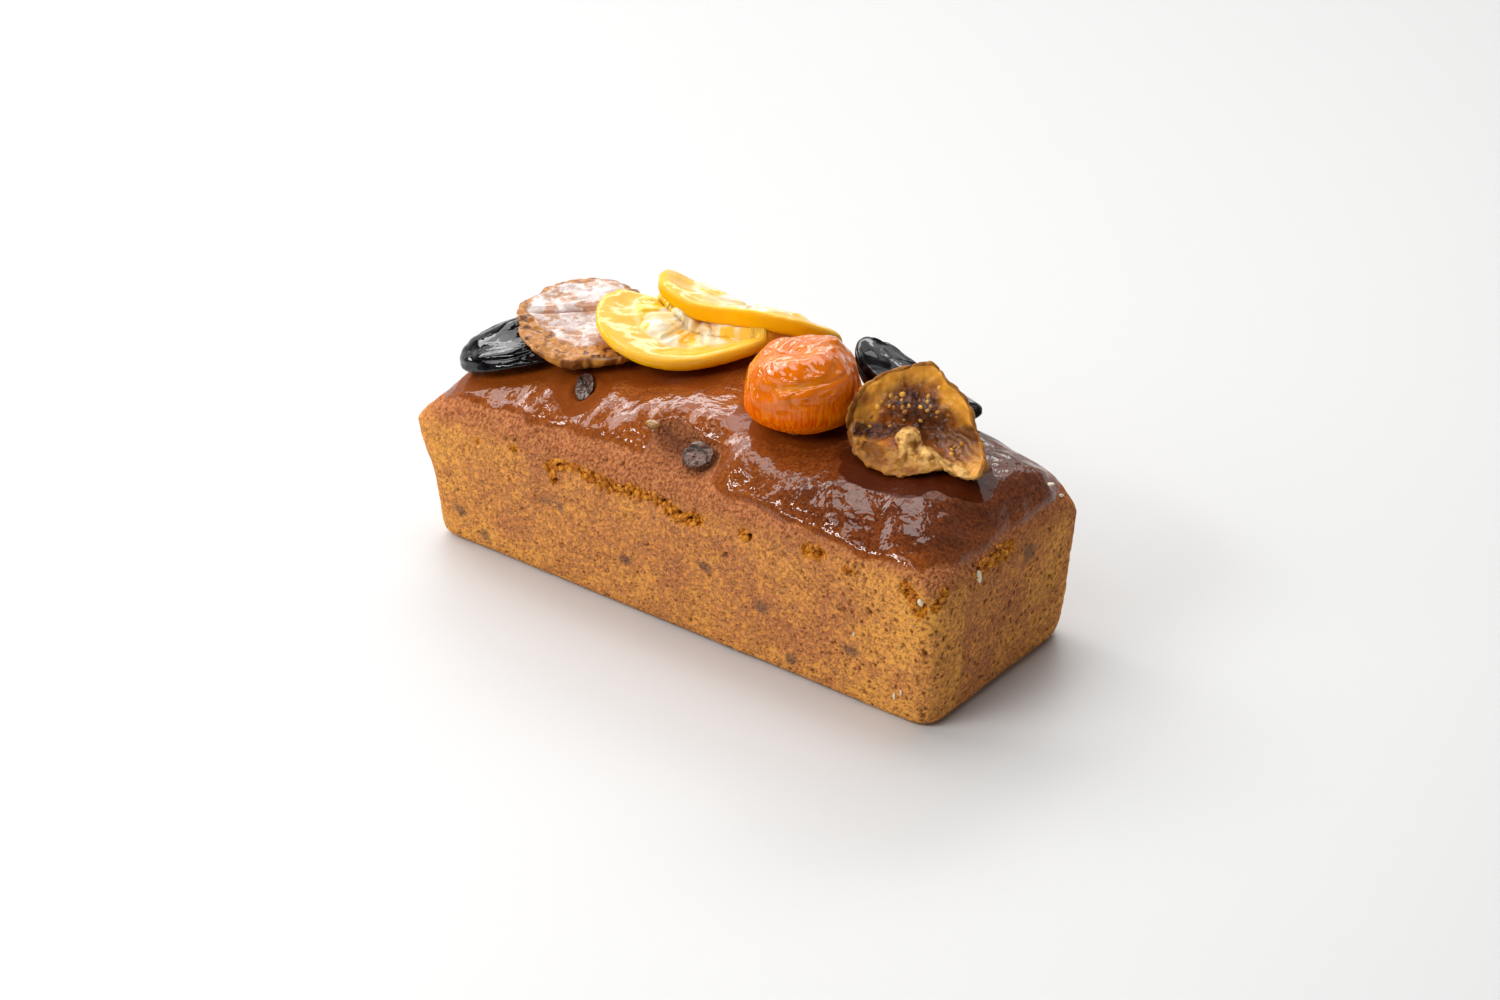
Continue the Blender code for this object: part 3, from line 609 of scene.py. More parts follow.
def shape_loaf(mesh):
    """Crumb, pores, the torn spots, and the swells, bubbles and thick edge of the glazed crown."""
    p = points_of(mesh)
    x, y, z = p.T
    above = z - split_height(p)
    glaze = above_glaze_edge(p)
    crown = smoothstep(-1.0, 2.0, glaze)
    wall = 1 - crown
    foot = smoothstep(0.4, 2.0, z)
    torn = torn_strength(p)
    holes = pits(p, 2.3, 24, (0.35, 0.6), 0.9)
    pores = wall_pores(p)
    nearest = fruit_distance(p)
    trench = crater_distance(p)
    crater = bell(trench, 4.6)
    glaze = glaze - 14 * crater
    raisin = RAISIN_BY_FIG_PLACE.translation
    around_raisin = bell(np.hypot(x - raisin.x, y - raisin.y) - 4.2, 1.3)
    lip = bell(np.hypot(x - CRATER_LIP[0], (y - CRATER_LIP[1]) / 1.5), 2.2)
    bead = 0.25 + 0.75 * np.maximum(bell(x + 36, 15), bell(x - 31, 12))

    out = wall * (0.12 * noise(p, 1.9, 12, 2) + 0.2 * noise(p, 7.0, 13) - 0.6 * pores)
    out += torn * (0.5 * noise(p, 1.7, 21, 2) - 0.5 - 1.6 * holes)
    out += crown * (0.45 * noise(p, 9.0, 18) + 0.22 * noise(p, 4.2, 19) + 0.4 * blisters(p))
    out += 0.55 * bead * bell(glaze - 1.4, 1.3)
    out += crown * 0.7 * bell(nearest, 1.6) + 0.8 * around_raisin + 0.8 * lip - 1.1 * bell(trench, 2.4)
    moved = p + normals_of(mesh) * (out * foot)[:, None]
    moved[:, 2] = np.maximum(moved[:, 2], 0.0)
    set_points(mesh, moved)

    inside = smoothstep(-1, 4, glaze + 1.5 * noise(p, 6.0, 36))
    set_values(
        mesh,
        above=above,
        glaze=glaze,
        torn=torn,
        # Pores, and holes in the torn spots, that are painted dark with their shade.
        pore=np.clip(pores * wall + holes * torn, 0, 1),
        raisin=raisin_shade(p),
        crater=crater,
        pool=4.6 - nearest + 2.2 * noise(p, 8.0, 34) + 0.8 * noise(p, 3.0, 35),
        # Painted shade, darker towards the right, with the darker tone of thicker glaze there.
        deep=smoothstep(12, 48, x) * inside,
        gold=golden_share(p),
        porous=smoothstep(15.0, 60.0, x + 6 * noise(p, 9.0, 37)),
    )


def wall_colour(f):
    """Golden crumb mottled with mauve-brown, and a matte band over the split: darker, redder and finer."""
    golden = f.value("gold")
    fine = f.sum(f.times(f.noise(1.3, 5.0, 0.7), 0.8), f.times(f.noise(4.5, 3.0), 0.2))
    mottle = f.step(0.39, 0.60, f.sum(fine, f.between(golden, 0.05, -0.05)))
    gold = f.mix(golden, (0.80, 0.310, 0.085), (0.97, 0.45, 0.095))
    brown = f.mix(golden, (0.42, 0.150, 0.075), (0.50, 0.175, 0.062))
    wall = f.mix(mottle, gold, brown)
    dark = f.step(0.54, 0.68, f.noise(1.0, 4.0, 0.6))
    wall = f.mix(f.times(dark, 0.62), wall, (0.21, 0.058, 0.022))
    pale = f.step(0.56, 0.70, f.noise(1.3, 3.0, 0.6))
    wall = f.mix(f.times(pale, 0.42), wall, (0.98, 0.55, 0.16))
    # Dark specks where the walls are porous: pores painted dark with their shade.
    pore_shade_specks = f.times(f.step(0.30, 0.14, f.cells(2.6)), f.value("porous"))
    wall = f.mix(f.times(pore_shade_specks, 0.75), wall, (0.16, 0.043, 0.014))
    band = f.mix(f.step(0.40, 0.60, f.noise(0.9, 4.0, 0.65)), (0.60, 0.225, 0.085), (0.34, 0.105, 0.040))
    band = f.mix(f.times(f.step(0.28, 0.12, f.cells(1.6)), 0.5), band, (0.70, 0.30, 0.05))
    over_split = f.step(-0.5, 6.0, f.sum(f.value("above"), f.between(f.noise(4.0), -2.5, 2.5)))
    return f.mix(over_split, wall, band)


def crown_colour(f, crumb_seen, deep, pool):
    """The crust under the glaze: painted darker towards the right with shade, and with the darker tone of
    thicker glaze there; in the pools round the fruit a dark amber of thick glaze, with the fruit's shade
    and dark reflection painted in.
    """
    # Towards the right both tones are painted darker with shade, and with the darker tone of thicker
    # glaze.
    light = f.mix(deep, (0.38, 0.100, 0.014), (0.24, 0.056, 0.010))
    dark = f.mix(deep, (0.19, 0.040, 0.006), (0.070, 0.012, 0.002))
    # Pools round the fruit: amber of thick glaze, painted darker with the fruit's shade and dark
    # reflection.
    amber = f.mix(deep, (0.24, 0.050, 0.004), (0.065, 0.008, 0.001))
    crown = f.mix(crumb_seen, light, dark)
    crown = f.mix(f.times(f.step(0.45, 0.7, f.noise(8.0, 3.0)), 0.6), crown, dark)
    return f.mix(f.times(pool, 0.85), crown, f.mix(f.times(crumb_seen, 0.5), amber, dark))


def crust_finish():
    """Walls, a crater of dark crust with the shade of its hollow painted in, and a glazed crown, then the
    torn spots, the pores painted dark with their shade, and the raisins in them.
    """
    f = Finish("crust_glazed", coat_roughness=0.05, specular_ior_level=0.03)
    glaze = f.step(-0.4, 0.5, f.sum(f.value("glaze"), f.between(f.noise(1.6, 4.0), -0.9, 0.9)))
    pool = f.step(-0.2, 0.2, f.sum(f.value("pool"), f.between(f.noise(2.5, 2.0), -0.5, 0.5)))
    deep = f.value("deep")
    crumb_seen = f.step(0.34, 0.66, f.noise(0.9, 5.0, 0.72))
    crater_crust_and_shade = f.mix(crumb_seen, (0.18, 0.060, 0.030), (0.08, 0.024, 0.013))
    crumb = f.mix(f.step(0.42, 0.66, f.noise(0.8, 3.0)), (0.74, 0.27, 0.022), (0.30, 0.075, 0.008))
    # The crater is dark brown crust with the shade of its hollow painted in.
    colour = f.mix(f.times(f.value("crater"), 0.8), wall_colour(f), crater_crust_and_shade)
    colour = f.mix(glaze, colour, crown_colour(f, crumb_seen, deep, pool))
    colour = f.mix(f.step(0.15, 0.55, f.value("torn")), colour, crumb)
    # The pores and the holes in the torn spots are painted dark with their shade.
    colour = f.mix(f.times(f.value("pore"), 0.85), colour, (0.11, 0.026, 0.006))
    colour = f.mix(f.times(f.value("raisin"), 0.62), colour, (0.11, 0.075, 0.066))
    f.feed("Base Color", colour)

    grain = f.sum(f.times(f.noise(0.9, 4.0, 0.65), 0.6), f.times(f.step(0.1, 0.5, f.cells(1.25)), 0.6))
    f.feed("Normal", f.bump(grain, 0.72, strength=f.between(glaze, 1.0, 0.13)))
    f.feed("Roughness", f.between(glaze, 0.75, 0.5))
    still = f.times(pool, f.between(deep, 0.75, 1.0))
    f.feed("Coat Weight", f.times(glaze, f.between(still, 1.0, 0.1)))
    ripples = f.bump(f.noise(8.0, 1.0), 0.6, f.bump(f.noise(3.2, 2.0), 0.45))
    level = f.bump(f.noise(7.0, 1.0), 0.25, f.up())
    f.feed("Coat Normal", f.blend(f.times(pool, 0.85), ripples, level))
    return f


# ---------------- prunes and raisins
PRUNE_LEFT_PLACE = placement((-69.0, -14.5, 54.5), 14, -14, 14)
PRUNE_RIGHT_PLACE = placement((41.0, 21.5, 64.2), -10, 7, -8)
RAISIN_CRATER_PLACE = placement((5.0, -25.8, 50.0), 20, 0, 36)
RAISIN_BY_FIG_PLACE = placement((-39.2, -19.2, 51.4), -52, 10)


def shape_dried(mesh, place, size, depth, seed):
    """Long creases along a dried fruit, and shorter ones between them."""
    p = points_of(mesh)
    q = local(p, place)
    long_fold = crease(q, np.array([3.4, 1.2, 1.2]) * size, seed, 0.13)
    short_fold = crease(q, np.array([0.8, 0.6, 0.6]) * size, seed + 1, 0.12)
    out = depth * (0.6 * noise(q, size, seed + 2, 2) - 0.8 * long_fold - 0.12 * short_fold)
    set_points(mesh, p + normals_of(mesh) * out[:, None])
    set_values(mesh, fold=np.clip(long_fold + 0.5 * short_fold, 0, 1))


def prune_finish(name, dull):
    """A prune's black skin, with the wetness that its duller patches keep."""
    f = Finish(name, coat_roughness=0.03, specular_ior_level=0.0)
    f.feed("Coat Weight", f.between(f.step(0.44, 0.58, f.noise(7.0, 2.0, bend=0.8)), 1.0, dull))
    bloom = f.step(0.45, 0.75, f.noise(3.5, 4.0, 0.6))
    colour = f.mix(bloom, (0.003, 0.002, 0.003), (0.012, 0.010, 0.012))
    colour = f.mix(f.step(0.62, 0.74, f.noise(0.9, 3.0)), colour, (0.040, 0.034, 0.036))
    # Painted shade in the creases: the skin is made nearly black along the folds.
    f.feed("Base Color", f.mix(f.value("fold"), colour, (0.002, 0.001, 0.001)))
    f.feed("Roughness", f.between(bloom, 0.4, 0.6))
    f.feed("Normal", f.bump(f.noise(1.4, 4.0, 0.6), 0.2))
    f.feed("Coat Normal", f.bump(f.noise(2.6, 2.0), 0.08))
    return f


def raisin_finish(name, dusty):
    """A raisin's skin: dusty brown-grey, or nearly black under wet glaze."""
    f = Finish(name, coat_roughness=0.06, specular_ior_level=0.2)
    dust = f.times(f.step(0.36, 0.60, f.noise(1.1, 4.0, 0.6)), dusty)
    colour = f.mix(dust, (0.065, 0.030, 0.018), (0.25, 0.145, 0.115))
    # Painted shade in the folds: the skin is made nearly black along them.
    f.feed("Base Color", f.mix(f.times(f.value("fold"), 0.7), colour, (0.006, 0.003, 0.002)))
    f.feed("Roughness", f.between(dust, 0.35, 0.75))
    f.feed("Coat Weight", f.between(dust, 1.0, 0.15))
    f.feed("Normal", f.bump(f.noise(0.6, 4.0, 0.6), 0.2))
    return f


# ---------------- apricot
APRICOT_PLACE = placement((21.7, -3.6, 67.8), 0, -5, 8)


def shape_apricot(mesh):
    """Soft lumps over the whole fruit, and level creases and a slit across its glazed top."""
    p = points_of(mesh)
    q = local(p, APRICOT_PLACE)
    under = smoothstep(6.5, -1.5, q[:, 2] + 2.5 * noise(q, 7.0, 52, 2))
    folds = crease(q, np.array([14.0, 14.0, 5.0]), 53, 0.12) * (1 - under)
    lumps = noise(q, np.array([8.0, 8.0, 3.5]), 55)
    swells = noise(q, np.array([5.0, 5.0, 2.6]), 57, 2) * (1 - under)
    slit = bell(q[:, 2] - 6.8 - 0.12 * q[:, 0], 0.7) * bell(q[:, 0] - 7.0, 4.5) * (q[:, 1] < 0)
    out = 0.4 * lumps + 0.4 * swells - 0.35 * folds - 0.9 * slit
    set_points(mesh, p + normals_of(mesh) * out[:, None])
    set_values(mesh, under=under, fold=np.clip(0.25 * folds + slit, 0, 1))


def apricot_finish():
    """Glossy orange above, and dull with upright strands below."""
    f = Finish("apricot_orange", coat_roughness=0.02, coat_ior=1.6, specular_ior_level=0.0,
               subsurface_weight=0.15, subsurface_scale=0.002)
    f.shader.inputs["Subsurface Radius"].default_value = (1.0, 0.35, 0.05)
    under = f.value("under")
    strands = f.noise(0.75, 3.0, 0.6, stretch=(1, 1, 7))
    low = f.mix(f.step(0.36, 0.64, strands), (0.78, 0.085, 0.0), (0.95, 0.22, 0.001))
    low = f.mix(f.times(f.step(0.5, 0.75, f.noise(7.0)), 0.5), low, (0.96, 0.26, 0.002))
    top = f.mix(f.noise(4.0, 3.0), (0.82, 0.20, 0.002), (0.66, 0.115, 0.001))
    colour = f.mix(under, top, low)
    colour = f.mix(f.times(f.value("fold"), 0.7), colour, (0.86, 0.34, 0.005))
    f.feed("Base Color", colour)
    f.feed("Roughness", 0.5)
    f.feed("Coat Weight", f.between(under, 1.0, 0.1))
    f.feed("Normal", f.bump(strands, 0.35, f.bump(f.noise(0.9, 4.0), 0.10), strength=under))
    f.feed("Coat Normal", f.bump(f.noise(5.5, 1.0, bend=0.5), 2.4, f.bump(strands, 0.12, strength=under)))
    return f


# ---------------- figs
FLAT_FIG_PLACE = placement((-53.0, -0.5, 54.8), 20, 2, 4.5)
OPEN_FIG_PLACE = placement((55.4, 1.0, 66.0), 12, 14, 42)
OUTLINE_STEPS = 72


def outline_share(q):
    """Each point's distance from the middle, as a share of the outline's in the same direction."""
    turn = np.arctan2(q[:, 1], q[:, 0])
    radius = np.hypot(q[:, 0], q[:, 1])
    widest = np.zeros(OUTLINE_STEPS)
    place = np.floor((turn / (2 * math.pi) + 0.5) * OUTLINE_STEPS).astype(int) % OUTLINE_STEPS
    np.maximum.at(widest, place, radius)
    middles = (np.arange(OUTLINE_STEPS) + 0.5) / OUTLINE_STEPS * 2 * math.pi - math.pi
    return radius / np.interp(turn, middles, widest, period=2 * math.pi)


def shape_flat_fig(mesh):
    """Fine pleats down the skin, a ragged rim, and a cut face with two soft folds under its glaze."""
    p = points_of(mesh)
    q = local(p, FLAT_FIG_PLACE)
    share = outline_share(q)
    turn = np.arctan2(q[:, 1], q[:, 0])
    n = normals_of(mesh)
    face = smoothstep(0.35, 0.75, n[:, 2]) * (q[:, 2] > 3.0)
    around = np.stack([20 * np.cos(turn), 20 * np.sin(turn), q[:, 2] * 0.35], axis=1)
    pleat = noise(around, 2.3, 61, 2)
    front = smoothstep(0.2, -0.8, np.sin(turn))
    rim = smoothstep(0.86, 0.94, share + 0.26 * front + 0.12 * noise(q, 5.0, 62, 2)) * face
    slant = q[:, 1] * 0.92 - q[:, 0] * 0.38 - 3.0 + 0.9 * noise(q, 8.0, 64)
    fold = bell(slant, 0.32) * smoothstep(0.95, 0.6, share) * face
    out = (1 - face) * (0.3 * pleat - 0.3 * crease(q, 3.0, 63, 0.15))
    out += rim * (0.6 * noise(q, 2.6, 65, 2) - 0.2)
    out += face * (0.7 * smoothstep(-0.5, 2.5, slant) - 0.3 * fold)
    out += face * (0.3 * noise(q, 6.0, 67) + 0.15 * noise(q, 2.6, 68))
    set_points(mesh, p + n * out[:, None])
    set_values(mesh, face=face, pleat=0.5 + 0.5 * pleat, rim=rim, fold=fold)


def flat_fig_finish():
    """Tan skin, golden on its ridges, and a cut face under the glaze with a ragged rim: its flesh painted
    pale with the glaze's sheen, and brown in patches.
    """
    f = Finish("fig_flat_glazed", coat_roughness=0.04, specular_ior_level=0.1,
               subsurface_weight=0.08, subsurface_scale=0.002)
    face = f.value("face")
    rim = f.value("rim")
    skin = f.mix(f.step(0.25, 0.75, f.value("pleat")), (0.20, 0.058, 0.008), (0.58, 0.245, 0.042))
    skin = f.mix(f.times(f.step(0.54, 0.74, f.noise(1.4, 4.0)), 0.4), skin, (0.22, 0.080, 0.030))
    # The pale pinkish white of the cut face is a painted sheen of the glaze; the brown patches below are
    # the flesh without it.
    flesh = f.mix(f.step(0.4, 0.65, f.noise(3.0, 4.0, 0.6)), (0.52, 0.38, 0.34), (0.76, 0.66, 0.62))
    flesh = f.mix(f.times(f.value("fold"), 0.9), flesh, (0.30, 0.10, 0.060))
    crevice = f.step(0.52, 0.62, f.noise(2.8, 4.0, 0.6, bend=0.6))
    ragged = f.mix(f.noise(1.5, 3.0), (0.34, 0.115, 0.018), (0.68, 0.29, 0.055))
    ragged = f.mix(f.times(crevice, 0.9), ragged, (0.085, 0.028, 0.012))
    bare_brown_flesh = f.times(f.step(0.47, 0.55, f.noise(5.0, 4.0, 0.6)), 0.85)
    flesh = f.mix(bare_brown_flesh, flesh, (0.42, 0.17, 0.050))
    flesh = f.mix(rim, flesh, ragged)
    f.feed("Base Color", f.mix(face, skin, flesh))
    f.feed("Roughness", 0.5)
    f.feed("Coat Weight", f.between(f.times(face, f.between(rim, 1.0, 0.4)), 0.12, 0.85))
    f.feed("Normal", f.bump(f.noise(1.0, 4.0, 0.6), 0.3))
    f.feed("Coat Normal", f.bump(f.noise(2.2, 3.0), 0.12))
    return f


def puckered_skin(q):
    """The knob, the crumb and the ridge of skin below the crease, and the apron at the left of them."""
    x, y = q[:, 0], q[:, 1]
    rough_edge = 1.0 + 0.25 * noise(q, 3.0, 70)
    knob = bell(np.hypot(x + 0.35 * (y + 4.6), (y + 5.2) / 1.3), 3.4 * rough_edge)
    crumb = bell(np.hypot(x - 6.6, y + 7.4), 3.2 * rough_edge)
    ridge = bell(np.hypot((x - 13) / 2.4, y + 7.4), 2.4 * rough_edge)
    apron = smoothstep(-8.0, -10.0, y) * smoothstep(-13, -8, x)
    return 1.5 * np.max([knob, crumb, ridge], axis=0), apron


def shape_open_fig(mesh):
    """Pulp in a hollow flap above the crease; below it a knob, an apron and a ridge of puckered skin."""
    p = points_of(mesh)
    q = local(p, OPEN_FIG_PLACE)
    x, y = q[:, 0], q[:, 1]
    n = normals_of(mesh)
    share = outline_share(q)
    facing = n @ np.array(OPEN_FIG_PLACE)[:3, 2]
    face = smoothstep(0.0, 0.4, facing) * smoothstep(-4.5, -2.5, q[:, 2])
    bumps, apron = puckered_skin(q)
    raised = np.clip(np.maximum(bumps, apron), 0, 1)
    rim = smoothstep(0.88, 0.95, share + 0.03 * noise(q, 3.0, 72))
    outside = (1 - face) * np.maximum(smoothstep(0.78, 0.88, share), y < -7.0)
    skin = np.max([smoothstep(0.45, 0.65, raised), rim, outside], axis=0)
    pulp = 1 - skin
    hollow = bell(np.hypot((x - 13) / 1.5, y - 0.5), 5.0) * pulp
    ribs = np.sin((y + 0.5 * x) * 3.2 + 4.5 * noise(q, 4.0, 77))

    out = pulp * 0.45 * noise(q, 2.4, 71, 2) + skin * 0.3 * noise(q, 2.2, 73, 2)
    out += 0.7 * bell(np.hypot(x, y + 4.2), 2.8) + 0.7 * bell(np.hypot(x - 6.6, y + 7.2), 2.4)
    out += 0.35 * raised * noise(q, 1.3, 74) - skin * 0.4 * crease(q, np.array([3.5, 1.8, 3.0]), 75, 0.15)
    out += 0.18 * hollow * ribs + 0.25 * rim * noise(q, 3.0, 76)
    out = np.where(apron > 0.5, np.maximum(out, -0.3), out)
    set_points(mesh, p + n * out[:, None])

    rise = y - 0.6 - 0.42 * x  # how far above the crease a point lies
    core = smoothstep(6.5, 2.5, np.hypot((x + 2.5) / 1.7, y - 4.0) + 1.2 * noise(q, 3.0, 79))
    trough = smoothstep(3.4, 1.6, np.abs(rise + 2.4 + 0.8 * noise(q, 3.0, 80)))
    set_values(
        mesh,
        skin=skin,
        hollow=hollow,
        ribs=0.5 + 0.5 * ribs,
        dark=np.maximum(core, trough) * pulp,
        outer=smoothstep(0.58, 0.92, share + 0.25 * noise(q, 6.0, 78, 2)),
        wet=pulp * smoothstep(-2.0, -6.0, x) * smoothstep(2.0, -1.0, rise),
        raised=np.clip(bumps, 0, 1),
        ridge=0.5 + 0.5 * noise(q, 2.2, 73, 2),
    )


def open_fig_finish():
    """Golden skin, and pulp that runs from an amber rim to a nearly black core."""
    f = Finish("fig_open_glazed", coat_roughness=0.04, specular_ior_level=0.1,
               subsurface_weight=0.1, subsurface_scale=0.002)
    skin_share = f.step(0.35, 0.65, f.sum(f.value("skin"), f.between(f.noise(1.5), -0.2, 0.2)))
    skin = f.mix(f.step(0.2, 0.8, f.value("ridge")), (0.24, 0.075, 0.008), (0.42, 0.175, 0.026))
    sugared = f.times(f.value("raised"), f.step(0.35, 0.60, f.noise(2.4, 3.0)))
    skin = f.mix(sugared, skin, (0.92, 0.54, 0.17))
    flesh = f.mix(f.step(0.35, 0.65, f.noise(2.6, 4.0, 0.6)), (0.14, 0.025, 0.002), (0.44, 0.115, 0.006))
    rim = f.mix(f.noise(3.0, 3.0), (0.74, 0.27, 0.016), (0.97, 0.46, 0.045))
    flesh = f.mix(f.value("outer"), flesh, rim)
    core = f.mix(f.step(0.4, 0.65, f.noise(1.6, 4.0)), (0.040, 0.008, 0.001), (0.15, 0.036, 0.004))
    flesh = f.mix(f.value("dark"), flesh, core)
    ribbed = f.mix(f.value("ribs"), (0.15, 0.045, 0.012), (0.36, 0.140, 0.040))
    flesh = f.mix(f.value("hollow"), flesh, ribbed)
    f.feed("Base Color", f.mix(skin_share, flesh, skin))
    f.feed("Roughness", f.between(skin_share, 0.4, 0.6))
    f.feed("Coat Weight", f.between(skin_share, 1.0, 0.2))
    f.feed("Normal", f.bump(f.noise(0.8, 4.0, 0.6), 0.3))
    wrinkles = f.bump(f.noise(1.5, 2.0), 1.6, strength=f.value("wet"))
    wet = f.between(skin_share, 1.0, 0.3)
    f.feed("Coat Normal", f.bump(f.noise(2.4, 3.0), 1.4, wrinkles, strength=wet))
    return f


# ---------------- orange slices
FRONT_SLICE_PLACE = placement((-28.0, 18.6, 61.2), 200)
BACK_SLICE_PLACE = placement((-17.5, 27.0, 61.6), 184, 0, 14)
SEGMENTS_IN_HALF = 5
SYRUP_REACH = 5.0  # the widest gap between the slices that syrup fills


def fill_under(mesh, node, reach):
    """Raises a piece's top to meet a node that hangs close over it, as syrup fills such a gap."""
    tree = tree_of_node(node)
    p = points_of(mesh)
    facing_up = np.nonzero(normals_of(mesh)[:, 2] > 0.3)[0]
    for index in facing_up:
        gap = tree.ray_cast(Vector(p[index]) * MM, Vector((0, 0, 1)), reach * MM)[3]
        if gap is not None:
            p[index, 2] += gap / MM * smoothstep(reach, 0.6 * reach, gap / MM)
    set_points(mesh, p)


def shape_slice(mesh, place, rind, seed):
    """Dimpled peel, a wide soft pith, and pulp sacs that run out from the core between the membranes.

    The wall is peel where it faces lower than rind, the height of its normal.
    """
    p = points_of(mesh)
    q = local(p, place)
    n = normals_of(mesh)
    turn = np.arctan2(q[:, 1], q[:, 0])
    share = outline_share(q)
    membrane = 1 - smoothstep(0.06, 0.2, np.abs(np.sin(SEGMENTS_IN_HALF * turn)) * share)
    edge = share + 0.05 * noise(q, 5.0, seed + 3)
    pulp = smoothstep(0.08, 0.16, share) * smoothstep(0.66, 0.56, edge) * (1 - membrane)
    rays = np.stack([turn * 12, share * 5, q[:, 2] * 0.4], axis=1)
    sacs = noise(rays, 1.0, seed, 2)
    flesh = smoothstep(0.10, 0.18, share) * smoothstep(0.70, 0.60, edge)
    out = pulp * (0.15 * sacs + 0.85) + 0.15 * noise(p, 4.0, seed + 1, 2)
    set_points(mesh, p + n * out[:, None])
    outside = 1 - smoothstep(rind - 0.5, rind, n[:, 2])
    patches = noise(p, 7.0, seed + 5, 2) + 0.3 * sacs
    set_values(
        mesh,
        peel=np.maximum(0.5 * smoothstep(0.90, 1.0, edge), outside),
        flesh=flesh,
        sacs=0.5 + 0.5 * sacs,
        ripe=flesh * smoothstep(0.10, 0.22, patches),
    )


def orange_finish():
    """Peel, pith, and pulp painted pale cream with the sheen of its glaze, golden in ripe patches."""
    f = Finish("orange_candied", coat_roughness=0.04, specular_ior_level=0.0,
               subsurface_weight=0.3, subsurface_scale=0.003)
    f.shader.inputs["Subsurface Radius"].default_value = (1.0, 0.6, 0.15)
    f.feed("Coat Weight", f.between(f.value("peel"), 1.0, 0.2))
    peel = f.mix(f.noise(5.0, 3.0), (0.93, 0.42, 0.001), (0.98, 0.52, 0.004))
    pith = f.mix(f.noise(3.0, 4.0), (0.95, 0.43, 0.012), (0.97, 0.59, 0.10))
    sacs = f.step(0.3, 0.7, f.value("sacs"))
    # The pale cream of the pulp is mostly a painted sheen of the glaze; the ripe patches show its golden
    # colour.
    pulp = f.mix(sacs, (0.97, 0.73, 0.34), (0.99, 0.88, 0.66))
    pulp = f.mix(f.value("ripe"), pulp, f.mix(sacs, (0.92, 0.44, 0.008), (0.97, 0.62, 0.060)))
    colour = f.mix(f.value("flesh"), pith, pulp)
    f.feed("Base Color", f.mix(f.value("peel"), colour, peel))
    f.feed("Roughness", 0.4)
    f.feed("Normal", f.bump(f.noise(0.9, 4.0), 0.12))
    f.feed("Coat Normal", f.bump(f.noise(2.6, 3.0), 0.15))
    return f


# ---------------- seeds, crumbs and flecks
# Seeds in the opened fig's pulp: middle of a cluster on its face, how far it spreads, how many.
SEED_CLUSTERS = (
    ((-4.5, 4.5), (4.2, 2.2), 18),
    ((-4.0, 8.0), (5.0, 3.0), 6),
    ((-11.5, -3.5), (2.6, 2.6), 8),
    ((10.5, -2.5), (3.0, 1.8), 9),
    ((4.5, 7.0), (4.0, 3.0), 4),
)

# Flecks: place, three radii, and turns about X and Z in degrees.
NUT_FLECKS = (
    ((86.2, -14.3, 38.9), (0.7, 0.9, 1.7), (8, 0)),
    ((81.1, -33.0, 38.2), (0.8, 0.5, 1.4), (0, 30)),
    ((81.2, 22.1, 46.9), (1.3, 0.7, 0.5), (10, 40)),
    ((83.4, 25.2, 43.6), (0.9, 0.4, 0.6), (20, 60)),
    ((73.5, -32.1, 7.6), (0.35, 0.3, 1.0), (0, 10)),
    ((75.6, -32.2, 9.6), (0.35, 0.3, 0.9), (0, -20)),
    ((61.0, -32.8, 21.5), (0.3, 0.3, 0.8), (0, 15)),
    ((59.6, -11.6, 56.9), (0.9, 0.25, 0.3), (15, 50)),
    ((58.4, -12.2, 56.7), (0.7, 0.2, 0.3), (-20, -30)),
)
PEEL_BITS = (
    ((-11.5, -24.3, 54.9), (2.2, 1.3, 0.9), (10, 20)),
    ((24.0, -10.6, 58.2), (1.6, 0.9, 0.7), (0, 10)),
)


def lump(shape, matrix, seed, ragged):
    """Adds a ball with an uneven surface, set by the matrix, and returns its number of vertices."""
    made = bmesh.ops.create_icosphere(shape, subdivisions=2, radius=1.0)["verts"]
    ways = np.array([v.co for v in made])
    scale = 1 + ragged * noise(ways, 0.9, seed, 2)
    for vertex, way, factor in zip(made, ways, scale):
        vertex.co = matrix @ Vector(way * factor)
    return len(made)


def add_lumps(name, finish, lumps, ragged):
    """One mesh of many small lumps, each a matrix, with its own shade from 0 to 1."""
    draw = np.random.default_rng(11)
    shape = bmesh.new()
    shades = []
    for index, matrix in enumerate(lumps):
        count = lump(shape, matrix, 200 + index, ragged)
        shades += [draw.uniform()] * count
    mesh = bpy.data.meshes.new(name)
    shape.to_mesh(mesh)
    shape.free()
    set_points(mesh, points_of(mesh))
    set_values(mesh, shade=shades)
    add_piece(name, mesh, finish)


def resting(spot, normal, radii, spin, sink):
    """A frame for a lump that lies on a surface, sunk into it by a share of its height."""
    frame_at = Matrix.Translation(spot + normal * radii[2] * (1 - 2 * sink))
    frame_at @= normal.to_track_quat("Z", "Y").to_matrix().to_4x4()
    return frame_at @ Matrix.Rotation(spin, 4, "Z") @ Matrix.Diagonal((*radii, 1.0))


